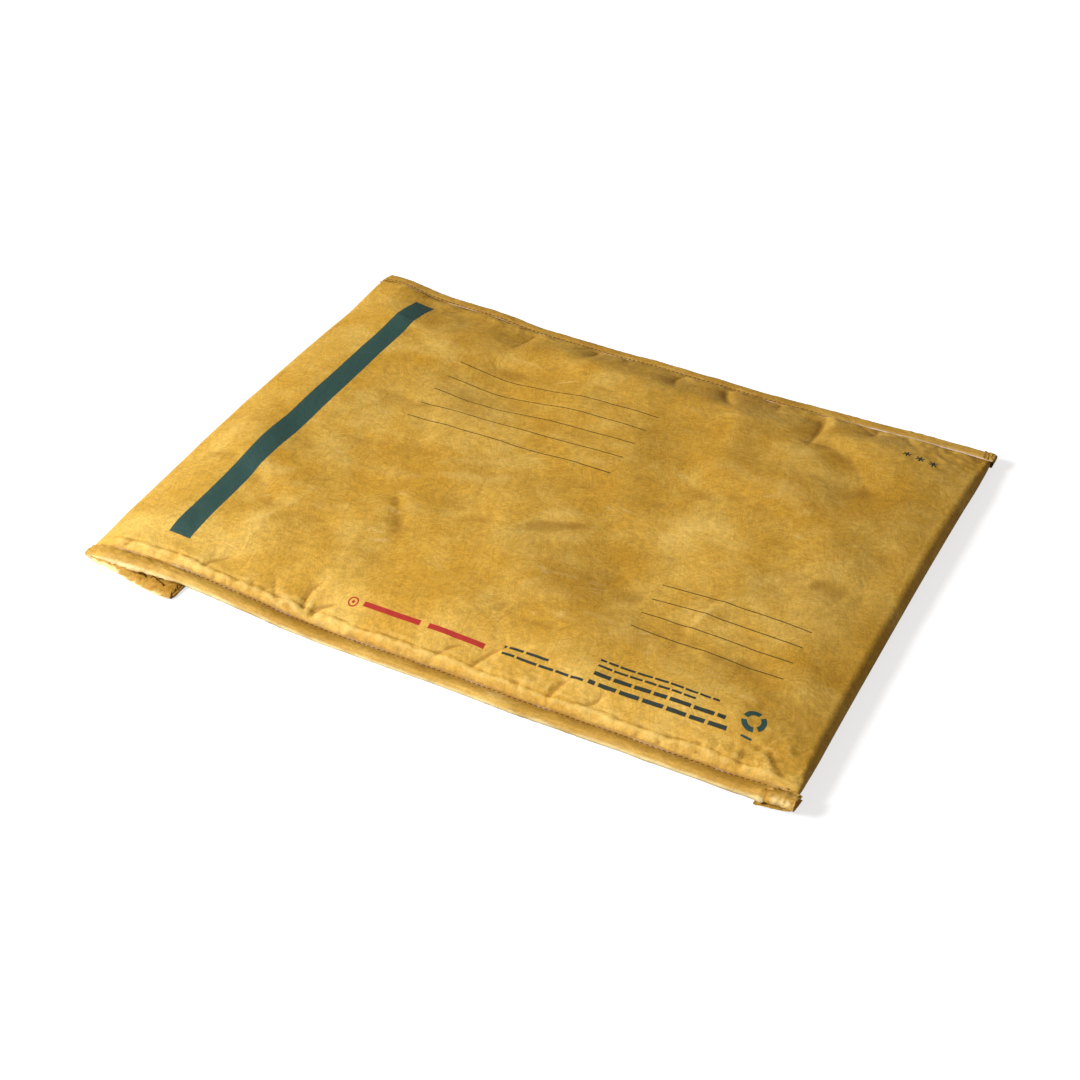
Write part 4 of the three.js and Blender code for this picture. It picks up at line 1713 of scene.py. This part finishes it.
@dataclass
class SideBinding:
    """Folded tape round one side seam, from the flap's tip round the crease to the fold."""

    strip: FoldedStrip
    side: Side
    flap_leg: float = 5.0
    near_lip: float = 1.6
    leg_steps: int = 8
    round_steps: int = 12
    end_rows: int = 30
    closing_rows: int = 6
    fold_rows: int = 26

    @property
    def end(self) -> TapeEnd:
        """The turned end of the tape on this side."""
        return TAPE_ENDS[self.side]

    def _piece(self, kind: str) -> str:
        """Name of a piece of this side."""
        return f"{kind}_{self.side.name.lower()}"

    def _placed(self, rows: Rows, height: Array, y: Array, shift: Array | float = 0.0) -> Array:
        """Places at a height over the seam curve.

        Args:
            rows: stations of the seam.
            height: height along the seam's normal.
            y: distance from the middle line.
            shift: further shift along x.

        Returns:
            Places in millimetres, as the envelope lies.
        """
        place = rows.edge[:, None, :] + rows.edge_normal[:, None, :] * height[..., None]
        moved = [place[..., 0] + shift, self.side.value * y, place[..., 1]]
        return self.strip.warp(np.stack(moved, axis=-1))

    def _section(self) -> tuple[Array, Array]:
        """Section of the folded tape.

        Returns:
            For each place of the section, its distance out from the seam line's start as a
            share of the leg or beyond it, and the angle of the rounded part, 90 degrees on
            one leg and -90 on the other.
        """
        quarter = 0.5 * math.pi
        leg = np.linspace(0.0, 1.0, self.leg_steps, endpoint=False)
        angle = np.linspace(quarter, -quarter, self.round_steps)
        out = np.concatenate([leg, np.ones(self.round_steps), leg[::-1]])
        turn = np.concatenate([np.full(len(leg), quarter), angle, np.full(len(leg), -quarter)])
        return out, turn

    def shell(self, gap: float) -> tuple[Array, Array]:
        """One face of the tape.

        The section is two level legs joined by half an ellipse. Its height over the middle
        of the seam is pinched as the seam is, and it is carried along the seam curve. On the
        flap the lower leg is longer, and takes no wrinkles on the side of the ground.

        Args:
            gap: distance of the face from what the tape wraps.

        Returns:
            Places in millimetres and places on the flat tape in metres.
        """
        s = SIZES
        rows = self.strip.seam_rows
        out, turn = self._section()
        top = rows.above + gap
        bottom = -rows.below - gap
        on_flap = ease((len(self.strip.flap_rows) - np.arange(len(rows))) / 6.0)[:, None]
        start = s.seam_line - self.flap_leg * on_flap * (turn < 0)
        y = lerp(start, s.sheet_edge, out) + (s.binding_round - s.leg_room + gap) * np.cos(turn)
        rise = ((top - bottom) / 2)[:, None] * np.sin(turn) * self.strip.pinch(self.side.value * y)
        height = ((top + bottom) / 2)[:, None] + rise
        along, across = np.broadcast_arrays(rows.flat[:, None], np.arange(1.0, len(out) + 1)[None, :])
        bulge = self.strip.relief.tape(along + 70.0 * self.side.value, across)
        bulge = bulge * (1 - on_flap * (turn > 0)) + self._lip(rows, out)
        places = self._placed(rows, height + bulge * np.sin(turn), y + bulge * np.cos(turn))
        return places, np.stack([along, across + 200.0 * self.side.value], axis=-1) * MM

    def _on_front(self) -> int:
        """Number of the first station that is past the flap and the crease."""
        return len(self.strip.flap_rows) + 20

    def _lip(self, rows: Rows, out: Array) -> Array:
        """Swelling of the near tape up to the slanted place where its end is tucked in."""
        tucked = SIZES.half - self.end.length + 1.0 + self.end.slant * (1 - out)[None, :]
        short_of = tucked - rows.edge[:, 0][:, None]
        past = np.arange(len(rows))[:, None] > self._on_front()
        lip = self.near_lip if self.side is Side.NEAR else 0.0
        return lip * past * (short_of > 0) * np.exp(-np.clip(short_of, 0.0, None) / 3.5)

    def build(self) -> bpy.types.Object:
        """The tape as a closed body between its outer and its inner face."""
        outer, uv = self.shell(SIZES.leg_room)
        inner, _ = self.shell(SIZES.clearance)
        marks = {"wear": self._wear(uv), "raw": self._raw()}
        return slab(self._piece("side_binding"), outer, inner, uv, marks)

    def _wear(self, uv: Array) -> Array:
        """Painted light and shade of the tape, with its needle holes.

        It is highest round the outer edge, a painted highlight where the roll faces the light,
        in patches, and lowest in the folds inside the flap, painted shade, and along the upper
        leg by the stitches, where needle holes and painted shade darken it.

        Args:
            uv: places on the flat tape in metres.

        Returns:
            Painted light and shade from -1 to 1.
        """
        out, turn = self._section()
        fine = self.strip.relief.fine
        u, v = uv[..., 0] / MM, uv[..., 1] / MM
        flaps = np.arange(len(uv))[:, None] < len(self.strip.flap_rows) + 4
        # Painted highlight round the roll, on the side that faces the light, in patches.
        facing = np.clip(np.cos(turn + np.where(flaps, 0.2, 0.12)), 0.0, 1.0)
        edge = facing**4 * np.clip(0.8 + 0.45 * fine.at(u, v, 9.0), 0.0, 1.0)
        folds = fine.ridges(u + 40, v * 1.2, 3.6)
        # Painted shade in the folds of the inner leg on the flap.
        inner = flaps * (np.sin(turn) < -0.3) * (0.1 - 2.4 * np.clip(folds - 0.5, 0.0, 0.5))
        # Dark band by the stitches on the upper leg: needle holes, and painted shade where the leg tilts
        # away from the light.
        patches = 0.7 + 0.6 * fine.at(u, out + 0.5, 3.2)
        holes = (turn > 1.5) * np.clip(1 - out / 0.2, 0.0, 1.0) * patches
        dark = 0.9 if self.side is Side.NEAR else 0.5
        return np.clip(edge + inner - dark * holes * ~flaps, -1.0, 1.0)

    def _raw(self) -> Array:
        """How much of the pale cut edge shows: along the upper leg, most at the far corner."""
        out, turn = self._section()
        flat = self.strip.seam_rows.flat[:, None]
        cut = (turn > 0) * np.clip(1.0 - out / 0.16, 0.0, 1.0)
        strong = ease((flat - 84.0) / 30.0) if self.side is Side.FAR else 0.0
        faint = 0.45 * ease(self.strip.relief.fine.at(flat, 5.0, 12.0) * 1.6)
        return cut * np.maximum(strong, faint)

    def _stations(self, first: float, last: float, count: int) -> Rows:
        """Stations of the seam between two places along x."""
        rows = self.strip.seam_rows
        start = self._on_front()
        number = np.arange(len(rows), dtype=float)
        low, high = (float(np.interp(x, rows.edge[start:, 0], number[start:])) for x in (first, last))
        return rows.at(low, high, count)

    def build_cap(self) -> bpy.types.Object:
        """The end of the tape, turned over the seam's corner as a crumpled, closed sleeve.

        The folded section is carried along the last of the seam, a layer further out, with
        its mouth flared and cut aslant. At the corner it shrinks towards its own middle.
        """
        s = SIZES
        noise = self.strip.relief.fine
        straight, closing = self.end_rows, self.closing_rows
        count = straight + closing
        rows = self._stations(s.half - self.end.length, s.half - s.tape, straight)
        rows = Rows.joined([rows, rows.take(np.full(closing, straight - 1))])
        left = 1.0 - np.sin(np.linspace(0.0, 0.5 * math.pi, closing + 1))[1:]
        shrink = np.concatenate([np.ones(straight), 0.04 + 0.96 * np.sqrt(1 - (1 - left) ** 2)])[:, None]
        beyond = np.concatenate([np.zeros(straight), 0.6 * (1 - left)])[:, None]
        flatten = np.concatenate([np.linspace(1.0, 0.72, straight), np.full(closing, 0.72)])[:, None]
        flare = self.end.flare * np.exp(-np.arange(count) / 1.5)
        out, turn = self._section()
        u, v = np.meshgrid(np.arange(count) * 0.5, np.arange(len(out)) * 0.8, indexing="ij")
        bulge = 0.5 * noise.ridges(u + 90 * self.side.value, v, 3.6, 3.4) + 0.2 * noise.at(u, v, 2.4)
        slant = (1 - out)[None, :] * self.end.slant * np.linspace(1.0, 0.0, count)[:, None]
        centre = (s.seam_line + s.width / 2) / 2
        faces = []
        for gap in (s.leg_room + 0.5, s.leg_room + 0.15):
            top, bottom = rows.above + gap + flare, -rows.below - gap - flare
            y = lerp(s.seam_line, s.sheet_edge, out)[None, :]
            y = y + (s.binding_round - s.leg_room + gap) * np.cos(turn)
            y = centre + (y - centre) * (0.8 + 0.2 * shrink)
            rise = ((top - bottom) / 2)[:, None] * shrink * flatten * np.sin(turn)
            height = ((top + bottom) / 2)[:, None] + rise * self.strip.pinch(self.side.value * y)
            height = height + bulge * np.sin(turn) * shrink
            faces.append(self._placed(rows, height, y + bulge * np.cos(turn), beyond + slant))
        uv = np.stack([u, v + 300.0], axis=-1) * MM
        # Painted light and shade of the sleeve: a highlight on the side facing the light, a painted shadow
        # at its start under the tape's turned edge, and painted shade over its far end.
        lightening = np.clip(np.cos(turn - 0.5), 0.0, 1.0) * (0.5 + 0.25 * noise.at(u, v + 20.0, 4.0))
        mouth = bell(u, 2.6) * (self.side is Side.NEAR)
        shaded = ease((u - 14.5) / 1.5)
        marks = {"wear": np.clip(lightening - 1.6 * mouth - 1.2 * shaded, -1.0, 1.0)}
        return slab(self._piece("tape_end"), faces[0], faces[1], uv, marks)

    def build_fold(self) -> bpy.types.Object:
        """The doubled last of the tape, flat under the seam and a little outside it."""
        s = SIZES
        noise = self.strip.relief.fine
        rows = self._stations(s.half - self.end.length - 2.2, s.half - 2.0, self.fold_rows)
        across = np.linspace(s.seam_line + 1.0, s.width / 2 + 1.0, 14)
        u, v = np.meshgrid(np.arange(self.fold_rows) * 0.85, across, indexing="ij")
        hang = np.linspace(0.9, 0.35, self.fold_rows)[:, None]
        bulge = 0.5 * noise.ridges(u + 60 * self.side.value, v, 4.2, 5.0)
        level = -rows.below[:, None] * self.strip.pinch(self.side.value * across)
        wide = v + 0.35 * noise.at(u, 3.3, 4.0) - (v - across[0]) * u * 0.012
        outer, inner = (
            self._placed(rows, level - s.leg_room - hang - bulge - depth, wide)
            for depth in (0.0, 3 * s.tape)
        )
        uv = np.stack([u, v + 500.0], axis=-1) * MM
        return slab(self._piece("tape_fold"), outer, inner, uv)


@dataclass
class EdgeBinding:
    """Folded tape round the flap's tip or round the mouth edge."""

    strip: FoldedStrip
    name: str
    rows: Rows
    past: float

    def _face(self, gap: float) -> tuple[Array, Array]:
        """One face: along the outer leg, round the edge and back along the inner leg.

        Args:
            gap: distance of the face from what the tape wraps.

        Returns:
            Places in millimetres and places on the flat tape in metres.
        """
        s = SIZES
        across = width_places(s.sheet_edge - 0.2, 30, 50)
        surface = PaddedSurface(self.strip, self.rows, across)
        bulge = self.strip.relief.tape(across[None, :], self.rows.flat[:, None])
        outer = surface.layer(-gap, -gap)
        inner = surface.layer(s.cover + self.rows.loft + gap, s.seam_panel + gap)
        out_way = outer - inner
        out_way /= np.linalg.norm(out_way, axis=-1, keepdims=True)
        inner = inner - out_way * bulge[..., None]
        angle = np.linspace(0.0, math.pi, 9)[1:-1]
        centre, arm = (outer[-1] + inner[-1]) / 2, (outer[-1] - inner[-1]) / 2
        turn = centre[None] + arm[None] * np.cos(angle)[:, None, None]
        turn = turn + np.array([self.past, 0.0, 0.0]) * (0.6 + gap) * np.sin(angle)[:, None, None]
        face = np.concatenate([outer, turn, inner[::-1]])
        along = 0.9 * np.arange(1, len(face) + 1)
        uv = np.stack(np.broadcast_arrays(across[None, :], along[:, None] + 400.0), axis=-1) * MM
        return face, uv

    def build(self) -> bpy.types.Object:
        """The tape as a closed body."""
        outer, uv = self._face(SIZES.leg_room)
        inner, _ = self._face(SIZES.clearance)
        return slab(self.name, outer, inner, uv)


@dataclass
class SeamStitches:
    """Lockstitch along one side seam, a row of short stitches on each face of the tape."""

    strip: FoldedStrip
    side: Side
    pitch: float = 2.5
    radius: float = 0.2
    inset: float = 0.7

    def build(self) -> bpy.types.Object:
        """The stitches as short bent tubes, dipping into the tape at both ends."""
        s = SIZES
        rows = self.strip.seam_rows
        curve = rows.edge
        run = np.concatenate([[0.0], np.cumsum(np.hypot(*np.diff(curve, axis=0).T))])
        count = int((run[-1] - 4.0) / self.pitch)
        share = np.linspace(-0.42, 0.42, 7)
        at = 2.0 + self.pitch * (np.arange(count)[:, None] + 0.5 + share[None, :])
        y = s.seam_line + self.inset
        gap = s.leg_room + 0.06
        middle = (rows.above - rows.below) / 2
        tubes = []
        for face in (1.0, -1.0):
            level = rows.above + gap if face > 0 else -rows.below - gap
            height = middle + (level - middle) * self.strip.pinch(np.array(self.side.value * y))
            dip = self.radius * (1.6 - 2.6 * np.abs(share / 0.42) ** 3)
            if self.side is Side.FAR:
                dip = dip - 0.6 * ease((np.interp(at, run, rows.flat) - 72.0) / 24.0)
            line = curve + rows.edge_normal * height[:, None]
            normal = np.stack([np.interp(at, run, rows.edge_normal[:, k]) for k in (0, 1)], axis=-1)
            x = np.interp(at, run, line[:, 0]) + face * normal[..., 0] * dip
            z = np.interp(at, run, line[:, 1]) + face * normal[..., 1] * dip
            sway = 0.12 * np.sin(at * 2.3 + face)
            centre = np.stack([x, np.broadcast_to(self.side.value * (y + sway), x.shape), z], axis=-1)
            tubes.append(self._tubes(centre, normal * face))
        places = np.concatenate([t[0] for t in tubes])
        faces = np.concatenate([tubes[0][1], tubes[1][1] + len(tubes[0][0])])
        places = self.strip.warp(places) * MM
        uv = places[:, :2].copy()
        return mesh_object(f"seam_thread_{self.side.name.lower()}", places, faces, uv)

    def _tubes(self, centre: Array, normal: Array) -> tuple[Array, NDArray]:
        """Closed tubes along rows of centres.

        Each ring is six points about its centre, half across the seam and half along the
        outward normal, and the rings at both ends shrink to a blunt tip.

        Args:
            centre: stitches by points along each by three.
            normal: outward normal in x and z at each point.

        Returns:
            Places and the corners of the quads.
        """
        count, points = centre.shape[:2]
        sides = 6
        angle = np.linspace(0.0, 2 * math.pi, sides, endpoint=False)
        size = self.radius * np.array([0.35] + [1.0] * (points - 2) + [0.35])
        across = size[None, :, None] * np.cos(angle)
        out = size[None, :, None] * np.sin(angle)
        ring = np.stack(
            [
                centre[..., 0, None] + normal[..., 0, None] * out,
                centre[..., 1, None] + across,
                centre[..., 2, None] + normal[..., 1, None] * out,
            ],
            axis=-1,
        )
        number = np.arange(count * points * sides).reshape(count, points, sides)
        nxt = np.roll(number, -1, axis=2)
        body = np.stack([number[:, :-1], nxt[:, :-1], nxt[:, 1:], number[:, 1:]], axis=-1).reshape(-1, 4)
        ends = []
        for k, order in ((0, (0, 5, 4, 3, 2, 1)), (points - 1, (0, 1, 2, 3, 4, 5))):
            tip = number[:, k, :][:, order]
            ends.append(tip[:, [0, 1, 2, 3]])
            ends.append(tip[:, [0, 3, 4, 5]])
        return ring.reshape(-1, 3), np.concatenate([body, *ends])


@dataclass
class Studio:
    """Pale floor, soft key lamp, dim surroundings and the camera."""

    lens_pixels: float = 1896.0
    picture: float = 1080.0
    azimuth: float = 27.5
    elevation: float = 39.59
    distance: float = 895.0
    look_at: tuple[float, float, float] = (2.4, -22.4, 0.0)
    key_from: tuple[float, float, float] = (-0.62, -0.57, 0.54)
    key_strength: float = 2.45
    softbox_reach: float = 1.05
    softbox_power: float = 10.4
    ambient: float = 0.2
    floor_grey: float = 0.45
    floor_lift: float = 0.72

    def build_camera(self) -> None:
        """Camera at the photograph's viewing angle, without shift or depth of field."""
        data = bpy.data.cameras.new("camera")
        data.sensor_width = 36.0
        data.lens = self.lens_pixels * data.sensor_width / self.picture
        data.clip_start, data.clip_end = 0.05, 30.0
        camera = linked("camera", data)
        turn, lift = math.radians(self.azimuth), math.radians(self.elevation)
        way = Vector((math.sin(turn) * math.cos(lift), -math.cos(turn) * math.cos(lift), math.sin(lift)))
        camera.location = (Vector(self.look_at) + way * self.distance) * MM
        camera.rotation_euler = way.to_track_quat("Z", "Y").to_euler()
        bpy.context.scene.camera = camera

    def _lamp(self, name: str, kind: str, away: float, **settings: object) -> None:
        """Lamp on the key's line.

        Args:
            name: name of the lamp.
            kind: type name of the light.
            away: how far out along the line it stands.
            settings: properties of the light.
        """
        data = bpy.data.lights.new(name, kind)
        for title, value in settings.items():
            setattr(data, title, value)
        lamp = linked(name, data)
        lamp.location = Vector(self.key_from) * away
        lamp.rotation_euler = Vector(self.key_from).to_track_quat("Z", "Y").to_euler()

    def build_lamps(self) -> None:
        """Key lamp from the near left with soft shadows, and a softbox on its line, nearer."""
        key = {"energy": self.key_strength, "angle": math.radians(14), "color": (1.0, 0.985, 0.96)}
        self._lamp("key", "SUN", 0.0, **key)
        box = {"energy": self.softbox_power, "color": (0.93, 1.0, 1.17), "size": 0.4}
        self._lamp("softbox", "AREA", self.softbox_reach, **box)

    def build_world(self) -> None:
        """Dim pale surroundings that the camera sees as white."""
        world = bpy.data.worlds.new("studio")
        world.use_nodes = True
        bpy.context.scene.world = world
        t = Tree(world.node_tree)
        path = t.put("ShaderNodeLightPath").outputs
        seen = t.largest(path["Is Camera Ray"], path["Is Transmission Ray"])
        strength = t.span(seen, 0.0, 1.0, self.ambient, 1.0)
        back = world.node_tree.nodes["Background"]
        tint = t.blend(seen, (1.0, 0.91, 0.78, 1.0), (1.0, 1.0, 1.0, 1.0))
        t.tree.links.new(tint, back.inputs["Color"])
        t.tree.links.new(strength, back.inputs["Strength"])

    def build_floor(self) -> bpy.types.Object:
        """Wide pale floor under the envelope, lifted to white for the camera only."""
        reach = 3.0
        corners = [(reach * x, reach * y, 0.0) for x, y in ((-1, -1), (1, -1), (1, 1), (-1, 1))]
        mesh = bpy.data.meshes.new("floor")
        mesh.from_pydata(corners, [], [(0, 1, 2, 3)])
        floor = linked("floor", mesh)
        material = bpy.data.materials.new("pale_floor")
        material.use_nodes = True
        t = Tree(material.node_tree)
        path = t.put("ShaderNodeLightPath").outputs
        shader = material.node_tree.nodes["Principled BSDF"]
        shader.inputs["Base Color"].default_value = (self.floor_grey,) * 3 + (1.0,)
        shader.inputs["Roughness"].default_value = 0.9
        shader.inputs["Specular IOR Level"].default_value = 0.0
        shader.inputs["Emission Color"].default_value = (1.0, 1.0, 1.0, 1.0)
        lift = t.times(path["Is Camera Ray"], self.floor_lift)
        t.tree.links.new(lift, shader.inputs["Emission Strength"])
        mesh.materials.append(material)
        return floor

    def build(self) -> None:
        """Everything round the envelope, and the plain view transform."""
        bpy.context.scene.view_settings.view_transform = "Standard"
        self.build_camera()
        self.build_lamps()
        self.build_world()
        self.build_floor()


@dataclass
class PaddedEnvelope:
    """The whole envelope."""

    strip: FoldedStrip
    finishes: Finishes

    def build(self) -> None:
        f = self.finishes
        paper = f.sheet(SheetFinish(), Inks())
        tape = f.sheet(TAPE_FINISH, Inks())
        fleece = f.plain(PlainFinish("white_wadding", "#efece4", "#d3cfc4", 0.95, 0.9, 0.8))
        # Painted shade: the thread is dark brown, darker than its own ochre, for the shade of the groove it
        # lies in.
        thread = f.plain(PlainFinish("ochre_thread", "#7a4c14", "#4a2c0c", 0.6, 3.0, 0.4))
        hooks = f.plain(PlainFinish("closure_hooks", "#cda552", "#8d6a2c", 0.75, 3.2, 1.0))
        loops = f.plain(PlainFinish("closure_loops", "#c8a250", "#9c7834", 0.92, 1.8, 1.0))
        body = PaddedBody(self.strip)
        wadding = dress(body.build_wadding(), fleece, "wadding", "wadding")
        sheet = dress(body.build_sheet(), paper, "sheet", "outer_shell")
        trims = []
        for side, node in ((Side.NEAR, "binding_near"), (Side.FAR, "binding_far")):
            binding = SideBinding(self.strip, side)
            trims.append(dress(binding.build(), tape, "binding", node))
            trims.append(dress(binding.build_cap(), tape, "binding"))
            trims.append(dress(binding.build_fold(), tape, "binding"))
            trims.append(dress(SeamStitches(self.strip, side).build(), thread, "binding"))
        trims += self._edge_bindings(tape)
        for node, material in (("hook_tape", hooks), ("loop_tape", loops)):
            strip_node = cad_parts[node]
            strip_node.data.materials.clear()
            strip_node.data.materials.append(material)

    def _edge_bindings(self, tape: bpy.types.Material) -> list[bpy.types.Object]:
        """The tapes round the flap's tip and the mouth edge."""
        s = SIZES
        covered = s.edge_binding + s.clearance
        flap = self.strip.flap_rows
        flap = flap.take(np.flatnonzero(s.flap_x - flap.mid[:, 0] < covered)[::-1])
        back = self.strip.back_rows
        back = back.take(np.flatnonzero(back.mid[:, 0] - s.mouth_x < covered))
        pieces = []
        for name, rows, past, node in (
            ("flap_edge_binding", flap, 1.0, "flap_binding"),
            ("mouth_edge_binding", back, -1.0, "mouth_binding"),
        ):
            pieces.append(dress(EdgeBinding(self.strip, name, rows, past).build(), tape, "binding", node))
        return pieces


def main() -> None:
    """Builds the studio and the envelope, in order."""
    logging.basicConfig(level=logging.INFO, format="%(name)s %(message)s")
    Studio().build()
    strip = FoldedStrip(SIZES, Relief(), Lie())
    PaddedEnvelope(strip, Finishes()).build()


if __name__ == "__main__":
    main()
